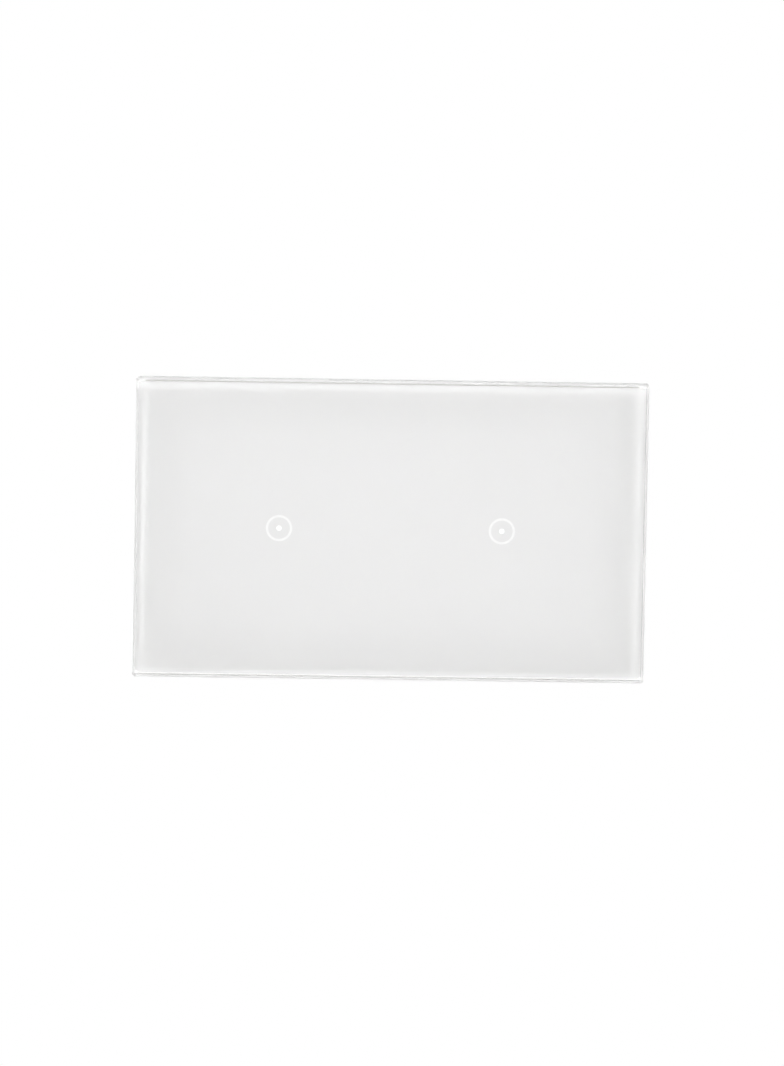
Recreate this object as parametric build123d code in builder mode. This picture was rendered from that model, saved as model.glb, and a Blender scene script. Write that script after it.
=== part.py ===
from build123d import *
import os

# Two-gang touch light switch with a glass front.
# The origin is the centre of the wall plane. X runs to the right, Z up, and the glass faces -Y.

# Glass front plate
glass_width = 146.0
glass_height = 86.0
glass_thickness = 4.0
glass_front_to_wall = 10.0
glass_arris = 0.7
glass_corner_cut = 0.6

# Layers on the back of the glass
enamel_edge_margin = 0.4
enamel_thickness = 0.15
print_thickness = 0.10
print_overlap = 0.4
tape_thickness = 0.5
tape_width = 8.0
tape_inset = 1.0

# Touch marks
mark_pitch_share = 0.4356
ring_outer_diameter = 7.5
ring_line_width = 0.65
dot_diameter = 1.5

# Carrier frame under the glass
carrier_inset = 1.5
carrier_wall = 2.0
carrier_flange_width = 10.0
carrier_flange_thickness = 1.5
carrier_corner_radius = 2.0
carrier_wall_gap = 0.3
pry_notch_width = 12.0
pry_notch_height = 1.8
gusset_size = 1.6
gusset_thickness = 1.2
gusset_columns = 6
gusset_rows = 3

# Pull-off pegs and their sockets
peg_inset = 2.5
peg_height_share = 0.7
peg_diameter = 3.2
peg_end_gap = 0.5
peg_tip_chamfer = 0.5
peg_fit_clearance = 0.05
socket_collar_diameter = 7.0
socket_collar_height = 2.0
socket_neck_diameter = 4.8
socket_neck_fit = 0.05
socket_neck_setback = 0.1

# Steel mounting plate
plate_thickness = 1.2
plate_side_gap = 1.5
plate_corner_radius = 3.0
plate_opening_gap = 0.5
box_fixing_offset = 7.3
box_slot_length = 7.0
box_slot_width = 4.0

# Rear box
plate_band_side = 15.0
plate_band_top = 10.0
box_depth = 23.6
box_wall = 1.8
box_corner_radius = 3.0
box_back_fillet = 1.0
box_field_width_share = 0.62
box_field_height_share = 0.36
box_field_z_share = 0.14
box_field_depth = 0.3
box_flange_side = 2.5
box_flange_top = 6.5
box_flange_thickness = 1.2
boss_diameter = 6.4
boss_inset = 2.8
pillar_diameter = 5.5

# Rivets that hold the box flange to the plate
rivet_pitch_share = 0.8
rivet_edge = 2.7
rivet_diameter = 2.4
rivet_head_diameter = 4.2
rivet_head_height = 0.7
rivet_clearance = 0.05

# Base cover
cover_border_thickness = 1.0
cover_border_side = 2.3
cover_border_top = 0.7
cover_plug_gap = 0.15
cover_floor_thickness = 1.2

# Housing screws
housing_screw_diameter = 2.9
housing_screw_head_diameter = 5.4
housing_screw_length = 12.0
head_cone_angle = 45
screw_hole_clearance = 0.1
screw_recess_width = 2.0
screw_recess_depth = 0.8
screw_recess_bar = 0.6

# Touch board and what stands on it
touch_board_screw_gap = 3.7
touch_board_margin = 3.2
touch_board_thickness = 1.2
board_edge_gap = 0.3
touch_screw_inset = 4.0
touch_screw_diameter = 2.0
touch_screw_length = 5.0
touch_screw_head_diameter = 3.8
touch_screw_head_height = 1.3
cover_boss_diameter = 4.6
cover_boss_height = 3.2
electrode_outer_diameter = 15.0
electrode_inner_diameter = 9.0
electrode_thickness = 0.05
foam_outer_diameter = 14.0
foam_inner_diameter = 9.4
foam_gap = 0.1
guide_diameter = 8.4
guide_gap = 0.1
guide_pocket_diameter = 3.2
guide_pocket_depth = 1.2
led_length = 1.6
led_width = 0.8
led_height = 0.7
touch_chip_length = 9.9
touch_chip_width = 3.9
touch_chip_height = 1.4
touch_chip_z_share = 0.2
chip_leg_pitch = 1.27
chip_leg_width = 0.42
chip_leg_reach = 1.05
chip_leg_thickness = 0.2
chip_body_lift = 0.15
touch_chip_legs = 8
resistor_length = 1.6
resistor_width = 0.8
resistor_height = 0.45
resistor_columns = 6
resistor_pitch_x = 3.0
resistor_pitch_z = 3.0
resistor_z_share = -0.3

# Header between the boards
header_ways = 6
header_pitch = 2.54
header_z_share = -0.16
header_strip_height = 2.5
header_strip_width = 2.5
header_pin_width = 0.64
header_pin_tail = 0.8
header_pin_length = 7.6
header_hole_diameter = 1.0
header_slot_gap = 0.4
socket_strip_height = 3.4
socket_hole_width = 0.84

# Power board
power_board_boss_gap = 0.7
power_board_margin = 1.2
power_board_thickness = 1.6
power_board_front_y = 4.0
power_screw_inset = 3.0
power_screw_diameter = 2.5
power_screw_length = 9.0
power_screw_head_diameter = 4.6
power_screw_head_height = 1.6
component_lift = 0.2

# Relays
relay_length = 19.0
relay_width = 15.5
relay_back_gap = 0.8
relay_wall = 0.8
relay_x_share = 0.343
relay_z_share = 0.275
relay_base_height = 1.8
relay_base_gap = 0.1
relay_case_radius = 0.8
relay_yoke_thickness = 1.0
relay_yoke_width = 9.0
relay_yoke_end_gap = 0.5
relay_coil_diameter = 8.6
relay_core_diameter = 3.6
relay_core_offset = 1.8
relay_core_fit = 0.1
relay_pole_diameter = 6.0
relay_pole_height = 0.6
relay_armature_thickness = 1.0
relay_armature_gap = 0.75
relay_armature_hinge_gap = 0.12
relay_armature_bead_diameter = 0.2
relay_armature_overlap = 0.2
relay_leaf_thickness = 0.3
relay_leaf_width = 4.0
relay_contact_diameter = 2.6
relay_contact_height = 0.5
relay_contact_closed_gap = 0.1
relay_contact_travel = 1.25
relay_contact_bar_thickness = 0.6
relay_contact_end_gap = 0.5
relay_contact_case_gap = 0.45

# Terminals
terminal_count = 4
terminal_pitch = 8.0
terminal_side_wall = 1.7
terminal_cell_width = 6.6
terminal_cell_height = 9.0
terminal_bottom_wall = 1.4
terminal_top_wall = 2.2
terminal_notch_gap = 0.15
terminal_edge_fillet = 0.5
wire_mouth = 4.6
wire_mouth_chamfer = 0.6
clamp_side_wall = 0.8
clamp_floor = 1.0
clamp_top = 1.6
clamp_length = 5.6
clamp_start = 1.2
clamp_mouth_gap = 0.8
clamp_travel = 3.0
clamp_play = 0.2
busbar_width = 4.0
busbar_thickness = 1.0
busbar_fit = 0.05
busbar_tail = 1.0
busbar_pocket = 0.7
terminal_screw_diameter = 2.9
terminal_thread_clearance = 0.05
terminal_screw_tip_gap = 0.1
terminal_screw_head_diameter = 4.2
terminal_screw_head_height = 2.0
terminal_screw_slot_width = 0.7
terminal_screw_slot_depth = 1.0
terminal_well_clearance = 0.25
terminal_ledge = 1.0
terminal_ledge_hole_clearance = 0.2

# Supply parts on the power board
transformer_x_share = 0.0
transformer_z_share = 0.24
core_width = 13.0
core_back_gap = 2.4
core_leg = 2.6
core_thickness = 6.0
bobbin_flange = 0.8
winding_wall = 1.9
bobbin_wall = 0.7
bobbin_foot = 1.6
film_capacitor_length = 13.0
film_capacitor_width = 5.0
film_capacitor_back_gap = 5.0
film_capacitor_x_share = -0.337
film_capacitor_z_share = -0.16
box_part_radius = 0.6
input_capacitor_diameter = 8.0
input_capacitor_back_gap = 4.0
output_capacitor_diameter = 6.3
output_capacitor_back_gap = 5.0
capacitor_bead = 0.35
capacitor_bead_height = 2.2
capacitor_vent_share = 0.7
capacitor_vent_width = 0.3
capacitor_vent_depth = 0.2
capacitor_edge_gap = 2.0
part_gap = 0.8
varistor_diameter = 7.4
varistor_thickness = 3.6
varistor_x_share = -0.337
varistor_z_share = -0.35
varistor_lift = 1.2
fuse_diameter = 8.4
fuse_height = 7.7
fuse_x_share = 0.337
fuse_z_share = -0.18
fuse_rim = 0.5
choke_diameter = 6.4
choke_height = 8.0
choke_flange = 1.2
choke_waist = 0.5
choke_z_share = 0.1
bridge_length = 4.7
bridge_width = 3.9
bridge_height = 2.4
bridge_legs = 2
bridge_x_share = -0.022
bridge_z_share = -0.08
supply_chip_length = 4.9
supply_chip_width = 3.9
supply_chip_height = 1.4
supply_chip_x_share = 0.101
supply_chip_z_share = -0.08
supply_chip_legs = 4
transistor_length = 2.9
transistor_width = 1.3
transistor_height = 1.0
transistor_legs = 2
transistor_x_share = 0.213
transistor_z_share = -0.04
lead_diameter = 0.6
lead_pitch = 5.0

# Cuts run this far past the face that they break through
overrun = 1.0

# Which way a piece on a board stands out from it
toward_front = -1
toward_back = 1

# Depth levels, from the front of the glass to the back of the rear box
glass_front_y = -glass_front_to_wall
glass_back_y = glass_front_y + glass_thickness
enamel_back_y = glass_back_y + enamel_thickness
print_back_y = enamel_back_y + print_thickness
tape_back_y = enamel_back_y + tape_thickness
flange_back_y = tape_back_y + carrier_flange_thickness
carrier_rear_y = -carrier_wall_gap
plate_front_y = -plate_thickness
box_flange_front_y = plate_front_y - box_flange_thickness
cover_front_y = box_flange_front_y - cover_border_thickness
touch_board_front_y = cover_front_y
touch_board_back_y = touch_board_front_y + touch_board_thickness
cover_back_y = touch_board_back_y + cover_floor_thickness
power_board_back_y = power_board_front_y + power_board_thickness
component_y = power_board_back_y + component_lift
box_inner_back_y = box_depth - box_wall

# Widths and heights that follow one another from the glass inwards
carrier_width = glass_width - 2 * carrier_inset
carrier_height = glass_height - 2 * carrier_inset
carrier_inner_width = carrier_width - 2 * carrier_wall
carrier_inner_height = carrier_height - 2 * carrier_wall
carrier_mouth_width = carrier_width - 2 * carrier_flange_width
carrier_mouth_height = carrier_height - 2 * carrier_flange_width
plate_width = carrier_inner_width - 2 * plate_side_gap
plate_height = carrier_inner_height - 2 * plate_side_gap
peg_pitch_x = carrier_mouth_width + 2 * peg_inset
peg_pitch_z = carrier_mouth_height * peg_height_share
gusset_column_pitch = carrier_inner_width / gusset_columns
gusset_row_pitch = carrier_inner_height / gusset_rows
mark_pitch = glass_width * mark_pitch_share
box_width = plate_width - 2 * plate_band_side
box_height = plate_height - 2 * plate_band_top
box_fixing_pitch = box_width + 2 * box_fixing_offset
box_inner_width = box_width - 2 * box_wall
box_inner_height = box_height - 2 * box_wall
box_flange_width = box_width + 2 * box_flange_side
box_flange_height = box_height + 2 * box_flange_top
rivet_pitch_x = box_width * rivet_pitch_share
plate_opening_width = box_width + 2 * plate_opening_gap
plate_opening_height = box_height + 2 * plate_opening_gap
cover_width = box_width + 2 * cover_border_side
cover_height = box_height + 2 * cover_border_top
head_reach = boss_inset + housing_screw_head_diameter / 2
touch_board_width = box_inner_width - 2 * (head_reach + touch_board_screw_gap)
touch_board_height = box_inner_height - 2 * touch_board_margin
touch_screw_pitch_x = touch_board_width - 2 * touch_screw_inset
touch_screw_pitch_z = touch_board_height - 2 * touch_screw_inset
boss_reach = boss_inset + boss_diameter / 2
power_board_width = box_inner_width - 2 * (boss_reach + power_board_boss_gap)
power_board_height = box_inner_height - 2 * power_board_margin
power_screw_pitch = power_board_width - 2 * power_screw_inset
boss_x = box_inner_width / 2 - boss_inset
boss_z = box_inner_height / 2 - boss_inset
boss_spots = [(sx * boss_x, sz * boss_z) for sx in (-1, 1) for sz in (-1, 1)]

# Places on the two boards, as shares of each board's width and height
touch_chip_z = touch_board_height * touch_chip_z_share
resistor_z = touch_board_height * resistor_z_share
header_z = power_board_height * header_z_share
relay_x = power_board_width * relay_x_share
relay_z = power_board_height * relay_z_share
transformer_x = power_board_width * transformer_x_share
transformer_z = power_board_height * transformer_z_share
film_capacitor_x = power_board_width * film_capacitor_x_share
film_capacitor_z = power_board_height * film_capacitor_z_share
relay_inner_x = relay_x - relay_length / 2
input_capacitor_x = -(relay_inner_x - part_gap - input_capacitor_diameter / 2)
input_capacitor_z = power_board_height / 2 - capacitor_edge_gap - input_capacitor_diameter / 2
output_capacitor_x = relay_inner_x - part_gap - output_capacitor_diameter / 2
output_capacitor_z = power_board_height / 2 - capacitor_edge_gap - output_capacitor_diameter / 2
varistor_x = power_board_width * varistor_x_share
varistor_z = power_board_height * varistor_z_share
fuse_x = power_board_width * fuse_x_share
fuse_z = power_board_height * fuse_z_share
choke_x = -(relay_inner_x - part_gap - choke_diameter / 2)
choke_z = power_board_height * choke_z_share
bridge_x = power_board_width * bridge_x_share
bridge_z = power_board_height * bridge_z_share
supply_chip_x = power_board_width * supply_chip_x_share
supply_chip_z = power_board_height * supply_chip_z_share
transistor_x = power_board_width * transistor_x_share
transistor_z = power_board_height * transistor_z_share

os.makedirs("parts", exist_ok=True)


def facing_front(y):
    """A plane at depth y that faces the viewer, with X to the right and Z up."""
    return Plane.XZ.offset(-y)


def save(part, name):
    """Label a finished piece and write it to its own file."""
    part.label = name
    export_step(part, f"parts/{name}.step")
    print(f"{name}: {len(part.solids())} solid(s), {part.volume:.1f} mm3")


# Glass plate, with ground arrises and small cuts across its four corners
with BuildPart() as glass_panel:
    with BuildSketch(facing_front(glass_back_y)):
        Rectangle(glass_width, glass_height)
    extrude(amount=glass_thickness)
    chamfer(glass_panel.edges().filter_by(Axis.Y), length=glass_corner_cut)
    rims = glass_panel.faces().filter_by(Axis.Y)
    chamfer(rims.edges(), length=glass_arris)
save(glass_panel.part, "glass_panel")

# Enamel coat: on the flat back of the glass, with a narrow clear margin all round, open at the
# ring and at the dot of each mark
ring_inner_diameter = ring_outer_diameter - 2 * ring_line_width
coat_inset = glass_arris + enamel_edge_margin
with BuildPart() as enamel_coat:
    with BuildSketch(facing_front(enamel_back_y)) as coat_outline:
        Rectangle(glass_width - 2 * coat_inset, glass_height - 2 * coat_inset)
        chamfer(coat_outline.vertices(), length=glass_corner_cut)
        with GridLocations(mark_pitch, 0, 2, 1):
            Circle(ring_outer_diameter / 2, mode=Mode.SUBTRACT)
            Circle(ring_inner_diameter / 2)
            Circle(dot_diameter / 2, mode=Mode.SUBTRACT)
    extrude(amount=enamel_thickness)
save(enamel_coat.part, "enamel_coat")

# Ring marks: translucent print laid over the ring openings
with BuildPart() as ring_marks:
    with BuildSketch(facing_front(print_back_y)):
        with GridLocations(mark_pitch, 0, 2, 1):
            Circle(ring_outer_diameter / 2 + print_overlap)
            Circle(ring_inner_diameter / 2 - print_overlap, mode=Mode.SUBTRACT)
    extrude(amount=print_thickness)
save(ring_marks.part, "ring_marks")

# Dot marks: translucent print laid over the dot openings
with BuildPart() as dot_marks:
    with BuildSketch(facing_front(print_back_y)):
        with GridLocations(mark_pitch, 0, 2, 1):
            Circle(dot_diameter / 2 + print_overlap)
    extrude(amount=print_thickness)
save(dot_marks.part, "dot_marks")

# Adhesive tape frame between the enamel and the carrier
with BuildPart() as adhesive_tape:
    with BuildSketch(facing_front(tape_back_y)):
        tape_outer_width = carrier_width - 2 * tape_inset
        tape_outer_height = carrier_height - 2 * tape_inset
        RectangleRounded(tape_outer_width, tape_outer_height, carrier_corner_radius)
        Rectangle(tape_outer_width - 2 * tape_width, tape_outer_height - 2 * tape_width, mode=Mode.SUBTRACT)
    extrude(amount=tape_thickness)
save(adhesive_tape.part, "adhesive_tape")

# Carrier frame: a flange under the tape, a skirt back towards the wall, four pull-off pegs,
# small gussets in the corner between flange and skirt, and a notch to lever it off
carrier_inner_radius = carrier_corner_radius / 2
with BuildPart() as carrier_frame:
    with BuildSketch(facing_front(carrier_rear_y)):
        RectangleRounded(carrier_width, carrier_height, carrier_corner_radius)
    extrude(amount=carrier_rear_y - tape_back_y)
    with BuildSketch(facing_front(carrier_rear_y)):
        RectangleRounded(carrier_inner_width, carrier_inner_height, carrier_inner_radius)
    extrude(amount=carrier_rear_y - flange_back_y, mode=Mode.SUBTRACT)
    with BuildSketch(facing_front(flange_back_y + overrun)):
        RectangleRounded(carrier_mouth_width, carrier_mouth_height, carrier_inner_radius)
    extrude(amount=carrier_flange_thickness + 2 * overrun, mode=Mode.SUBTRACT)
    with Locations((0, carrier_rear_y, -carrier_height / 2)):
        Box(pry_notch_width, 2 * pry_notch_height, 2 * carrier_wall + overrun, mode=Mode.SUBTRACT)
    half_inner_height = carrier_inner_height / 2
    for side in (-1, 1):
        edge = side * half_inner_height
        with BuildSketch(Plane.YZ) as gusset_profile:
            with BuildLine():
                Polyline(
                    (flange_back_y, edge),
                    (flange_back_y + gusset_size, edge),
                    (flange_back_y, edge - side * gusset_size),
                    close=True,
                )
            make_face()
        gusset_face = gusset_profile.sketch
        for column in range(gusset_columns):
            x = (column - (gusset_columns - 1) / 2) * gusset_column_pitch
            extrude(gusset_face.moved(Pos(X=x)), amount=gusset_thickness / 2, both=True)
    half_inner_width = carrier_inner_width / 2
    for side in (-1, 1):
        edge = side * half_inner_width
        with BuildSketch(Plane.XY) as gusset_profile:
            with BuildLine():
                Polyline(
                    (edge, flange_back_y),
                    (edge, flange_back_y + gusset_size),
                    (edge - side * gusset_size, flange_back_y),
                    close=True,
                )
            make_face()
        gusset_face = gusset_profile.sketch
        for row in range(gusset_rows):
            z = (row - (gusset_rows - 1) / 2) * gusset_row_pitch
            extrude(gusset_face.moved(Pos(Z=z)), amount=gusset_thickness / 2, both=True)
    peg_tip_y = -peg_end_gap
    with BuildSketch(facing_front(peg_tip_y)):
        with GridLocations(peg_pitch_x, peg_pitch_z, 2, 2):
            Circle(peg_diameter / 2)
    extrude(amount=peg_tip_y - flange_back_y)
    tip_edges = carrier_frame.edges().filter_by(GeomType.CIRCLE)
    tip_edges = tip_edges.filter_by(lambda e: abs(e.radius - peg_diameter / 2) < e.radius / 100)
    chamfer(tip_edges.group_by(Axis.Y)[-1], length=peg_tip_chamfer)
save(carrier_frame.part, "carrier_frame")

# Mounting plate: steel, with an opening for the rear box, two slots for the wall box screws,
# holes for the peg sockets and for the flange rivets
rivet_z = box_flange_height / 2 - rivet_edge
with BuildPart() as mounting_plate:
    with BuildSketch(facing_front(0)):
        RectangleRounded(plate_width, plate_height, plate_corner_radius)
        RectangleRounded(plate_opening_width, plate_opening_height, box_corner_radius, mode=Mode.SUBTRACT)
        with GridLocations(box_fixing_pitch, 0, 2, 1):
            SlotOverall(box_slot_length, box_slot_width, mode=Mode.SUBTRACT)
        with GridLocations(peg_pitch_x, peg_pitch_z, 2, 2):
            Circle(socket_neck_diameter / 2 + socket_neck_fit, mode=Mode.SUBTRACT)
        with GridLocations(rivet_pitch_x, 2 * rivet_z, 2, 2):
            Circle(rivet_diameter / 2 + rivet_clearance, mode=Mode.SUBTRACT)
    extrude(amount=plate_thickness)
save(mounting_plate.part, "mounting_plate")

# Peg sockets: a collar in front of the plate and a neck in its hole, with a bore for the peg
socket_neck_y = -socket_neck_setback
with BuildPart() as peg_sockets:
    with BuildSketch(facing_front(plate_front_y)):
        with GridLocations(peg_pitch_x, peg_pitch_z, 2, 2):
            Circle(socket_collar_diameter / 2)
    extrude(amount=socket_collar_height)
    with BuildSketch(facing_front(socket_neck_y)):
        with GridLocations(peg_pitch_x, peg_pitch_z, 2, 2):
            Circle(socket_neck_diameter / 2)
    extrude(amount=socket_neck_y - plate_front_y)
    with BuildSketch(facing_front(overrun)):
        with GridLocations(peg_pitch_x, peg_pitch_z, 2, 2):
            Circle(peg_diameter / 2 + peg_fit_clearance)
    extrude(amount=overrun + plate_thickness + socket_collar_height + overrun, mode=Mode.SUBTRACT)
save(peg_sockets.part, "peg_sockets")

# Rear box: a tray behind the wall plane, with a flange in front of the plate, four screw bosses,
# two board pillars, a sunk blank field on its back, and a notch below for the terminal housing
terminal_housing_width = (terminal_count - 1) * terminal_pitch + terminal_cell_width + 2 * terminal_side_wall
terminal_housing_height = terminal_bottom_wall + terminal_cell_height + terminal_top_wall
terminal_bottom_z = -box_height / 2
terminal_top_z = terminal_bottom_z + terminal_housing_height
notch_width = terminal_housing_width + 2 * terminal_notch_gap
with BuildPart() as rear_box:
    with BuildSketch(facing_front(box_depth)):
        RectangleRounded(box_width, box_height, box_corner_radius)
    extrude(amount=box_depth - box_flange_front_y)
    fillet(rear_box.faces().sort_by(Axis.Y)[-1].edges(), radius=box_back_fillet)
    with BuildSketch(facing_front(box_depth + overrun)):
        with Locations((0, box_height * box_field_z_share)):
            Rectangle(box_width * box_field_width_share, box_height * box_field_height_share)
    extrude(amount=box_field_depth + overrun, mode=Mode.SUBTRACT)
    with BuildSketch(facing_front(plate_front_y)):
        RectangleRounded(box_flange_width, box_flange_height, box_corner_radius)
    extrude(amount=box_flange_thickness)
    with BuildSketch(facing_front(box_inner_back_y)):
        RectangleRounded(box_inner_width, box_inner_height, box_corner_radius - box_wall)
    extrude(amount=box_inner_back_y - box_flange_front_y + overrun, mode=Mode.SUBTRACT)
    with BuildSketch(facing_front(box_inner_back_y)):
        with Locations(*boss_spots):
            Circle(boss_diameter / 2)
    extrude(amount=box_inner_back_y - cover_back_y)
    with BuildSketch(facing_front(box_inner_back_y)):
        with GridLocations(power_screw_pitch, 0, 2, 1):
            Circle(pillar_diameter / 2)
    extrude(amount=box_inner_back_y - power_board_back_y)
    with BuildSketch(facing_front(cover_back_y + housing_screw_length)):
        with Locations(*boss_spots):
            Circle(housing_screw_diameter / 2 + screw_hole_clearance)
    extrude(amount=housing_screw_length + overrun, mode=Mode.SUBTRACT)
    with BuildSketch(facing_front(power_board_front_y + power_screw_length + overrun)):
        with GridLocations(power_screw_pitch, 0, 2, 1):
            Circle(power_screw_diameter / 2 + screw_hole_clearance)
    extrude(amount=power_screw_length + overrun, mode=Mode.SUBTRACT)
    with BuildSketch(facing_front(plate_front_y + overrun)):
        with GridLocations(rivet_pitch_x, 2 * rivet_z, 2, 2):
            Circle(rivet_diameter / 2 + rivet_clearance)
    extrude(amount=box_flange_thickness + 2 * overrun, mode=Mode.SUBTRACT)
    notch_front_y = power_board_back_y - terminal_notch_gap
    notch_top_z = terminal_top_z + terminal_notch_gap
    notch_depth = box_depth - notch_front_y + overrun
    notch_height = notch_top_z - terminal_bottom_z + overrun
    with Locations((0, notch_front_y, notch_top_z)):
        Box(
            notch_width,
            notch_depth,
            notch_height,
            align=(Align.CENTER, Align.MIN, Align.MAX),
            mode=Mode.SUBTRACT,
        )
save(rear_box.part, "rear_box")

# Rivets: a domed head on the flange and a shank that ends flush with the plate's rear face
with BuildPart() as plate_rivets:
    with BuildSketch(facing_front(0)):
        with GridLocations(rivet_pitch_x, 2 * rivet_z, 2, 2):
            Circle(rivet_diameter / 2)
    extrude(amount=-box_flange_front_y)
    with BuildSketch(facing_front(box_flange_front_y)):
        with GridLocations(rivet_pitch_x, 2 * rivet_z, 2, 2):
            Circle(rivet_head_diameter / 2)
    extrude(amount=rivet_head_height)
    fillet(plate_rivets.edges().group_by(Axis.Y)[0], radius=rivet_head_height / 2)
save(plate_rivets.part, "plate_rivets")

# Base cover: a border on the box flange, a plug in the box mouth, and a recess for the touch board
recess_width = touch_board_width + 2 * board_edge_gap
recess_height = touch_board_height + 2 * board_edge_gap
header_width = header_ways * header_pitch
touch_screw_tip_y = touch_board_front_y + touch_screw_length
with BuildPart() as base_cover:
    with BuildSketch(facing_front(box_flange_front_y)):
        RectangleRounded(cover_width, cover_height, box_corner_radius)
    extrude(amount=cover_border_thickness)
    with BuildSketch(facing_front(cover_back_y)):
        plug_width = box_inner_width - 2 * cover_plug_gap
        plug_height = box_inner_height - 2 * cover_plug_gap
        RectangleRounded(plug_width, plug_height, box_corner_radius - box_wall)
    extrude(amount=cover_back_y - box_flange_front_y)
    with BuildSketch(facing_front(touch_board_back_y)):
        Rectangle(recess_width, recess_height)
    extrude(amount=touch_board_thickness + overrun, mode=Mode.SUBTRACT)
    with BuildSketch(facing_front(cover_back_y + cover_boss_height)):
        with GridLocations(touch_screw_pitch_x, touch_screw_pitch_z, 2, 2):
            Circle(cover_boss_diameter / 2)
    extrude(amount=cover_boss_height)
    with BuildSketch(facing_front(touch_screw_tip_y)):
        with GridLocations(touch_screw_pitch_x, touch_screw_pitch_z, 2, 2):
            Circle(touch_screw_diameter / 2 + screw_hole_clearance)
    extrude(amount=touch_screw_length + overrun, mode=Mode.SUBTRACT)
    with BuildSketch(facing_front(cover_back_y + overrun)):
        with Locations((0, header_z)):
            Rectangle(header_width + 2 * header_slot_gap, header_strip_width + 2 * header_slot_gap)
    extrude(amount=cover_floor_thickness + 2 * overrun, mode=Mode.SUBTRACT)
    with Locations(facing_front(cover_front_y)):
        with Locations(*boss_spots):
            CounterSinkHole(
                radius=housing_screw_diameter / 2 + screw_hole_clearance,
                counter_sink_radius=housing_screw_head_diameter / 2 + screw_hole_clearance,
            )
save(base_cover.part, "base_cover")


def screw_recess(spots, head_y, depth):
    """Cross recess cut into the screw heads that face the front at depth head_y."""
    with BuildSketch(facing_front(head_y + depth)) as cross:
        with Locations(*spots):
            Rectangle(screw_recess_width, screw_recess_bar)
            Rectangle(screw_recess_bar, screw_recess_width)
    extrude(cross.sketch, amount=depth + overrun, mode=Mode.SUBTRACT)


# Housing screws: countersunk heads flush with the cover, shanks in the box bosses
with BuildPart() as housing_screws:
    with BuildSketch(facing_front(cover_front_y + housing_screw_length)):
        with Locations(*boss_spots):
            Circle(housing_screw_diameter / 2)
    extrude(amount=housing_screw_length)
    with BuildSketch(facing_front(cover_front_y)):
        with Locations(*boss_spots):
            Circle(housing_screw_head_diameter / 2)
    extrude(amount=-(housing_screw_head_diameter - housing_screw_diameter) / 2, taper=head_cone_angle)
    screw_recess(boss_spots, cover_front_y, screw_recess_depth)
save(housing_screws.part, "housing_screws")

# Touch board, with holes for its screws and for the header pins
touch_screw_spots = [
    (sx * touch_screw_pitch_x / 2, sz * touch_screw_pitch_z / 2) for sx in (-1, 1) for sz in (-1, 1)
]
header_spots = [((i - (header_ways - 1) / 2) * header_pitch, header_z) for i in range(header_ways)]
with BuildPart() as touch_board:
    with BuildSketch(facing_front(touch_board_back_y)):
        Rectangle(touch_board_width, touch_board_height)
        with Locations(*touch_screw_spots):
            Circle(touch_screw_diameter / 2 + screw_hole_clearance, mode=Mode.SUBTRACT)
        with Locations(*header_spots):
            Circle(header_hole_diameter / 2, mode=Mode.SUBTRACT)
    extrude(amount=touch_board_thickness)
save(touch_board.part, "touch_board")


def pan_screws(spots, head_y, length, diameter, head_diameter, head_height):
    """Pan head screws whose heads stand in front of depth head_y, in the part being built."""
    with BuildSketch(facing_front(head_y + length)) as shanks:
        with Locations(*spots):
            Circle(diameter / 2)
    extrude(shanks.sketch, amount=length)
    with BuildSketch(facing_front(head_y)) as rounds:
        with Locations(*spots):
            Circle(head_diameter / 2)
    heads = extrude(rounds.sketch, amount=head_height)
    fillet(heads.edges().group_by(Axis.Y)[0], radius=head_height / 3)
    screw_recess(spots, head_y - head_height, screw_recess_depth)


# Touch board screws
with BuildPart() as touch_board_screws:
    pan_screws(
        touch_screw_spots,
        touch_board_front_y,
        touch_screw_length,
        touch_screw_diameter,
        touch_screw_head_diameter,
        touch_screw_head_height,
    )
save(touch_board_screws.part, "touch_board_screws")

# Electrodes: a copper ring on the board around each light guide
with BuildPart() as touch_electrodes:
    with BuildSketch(facing_front(touch_board_front_y)):
        with GridLocations(mark_pitch, 0, 2, 1):
            Circle(electrode_outer_diameter / 2)
            Circle(electrode_inner_diameter / 2, mode=Mode.SUBTRACT)
    extrude(amount=electrode_thickness)
save(touch_electrodes.part, "touch_electrodes")

# Foam pads: conductive rings from the electrodes to just behind the enamel
foam_back_y = touch_board_front_y - electrode_thickness
with BuildPart() as touch_foam_pads:
    with BuildSketch(facing_front(foam_back_y)):
        with GridLocations(mark_pitch, 0, 2, 1):
            Circle(foam_outer_diameter / 2)
            Circle(foam_inner_diameter / 2, mode=Mode.SUBTRACT)
    extrude(amount=foam_back_y - (enamel_back_y + foam_gap))
save(touch_foam_pads.part, "touch_foam_pads")

# Light guides: clear plugs behind each mark, with a pocket for the lamp
guide_front_y = print_back_y + guide_gap
with BuildPart() as light_guides:
    with BuildSketch(facing_front(touch_board_front_y)):
        with GridLocations(mark_pitch, 0, 2, 1):
            Circle(guide_diameter / 2)
    extrude(amount=touch_board_front_y - guide_front_y)
    with BuildSketch(facing_front(touch_board_front_y)):
        with GridLocations(mark_pitch, 0, 2, 1):
            Circle(guide_pocket_diameter / 2)
    extrude(amount=guide_pocket_depth, mode=Mode.SUBTRACT)
save(light_guides.part, "light_guides")

# Indicator lamps, one in each light guide's pocket
with BuildPart() as indicator_leds:
    with BuildSketch(facing_front(touch_board_front_y)):
        with GridLocations(mark_pitch, 0, 2, 1):
            Rectangle(led_length, led_width)
    extrude(amount=led_height)
    fillet(indicator_leds.edges().group_by(Axis.Y)[0], radius=led_height / 4)
save(indicator_leds.part, "indicator_leds")


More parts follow.
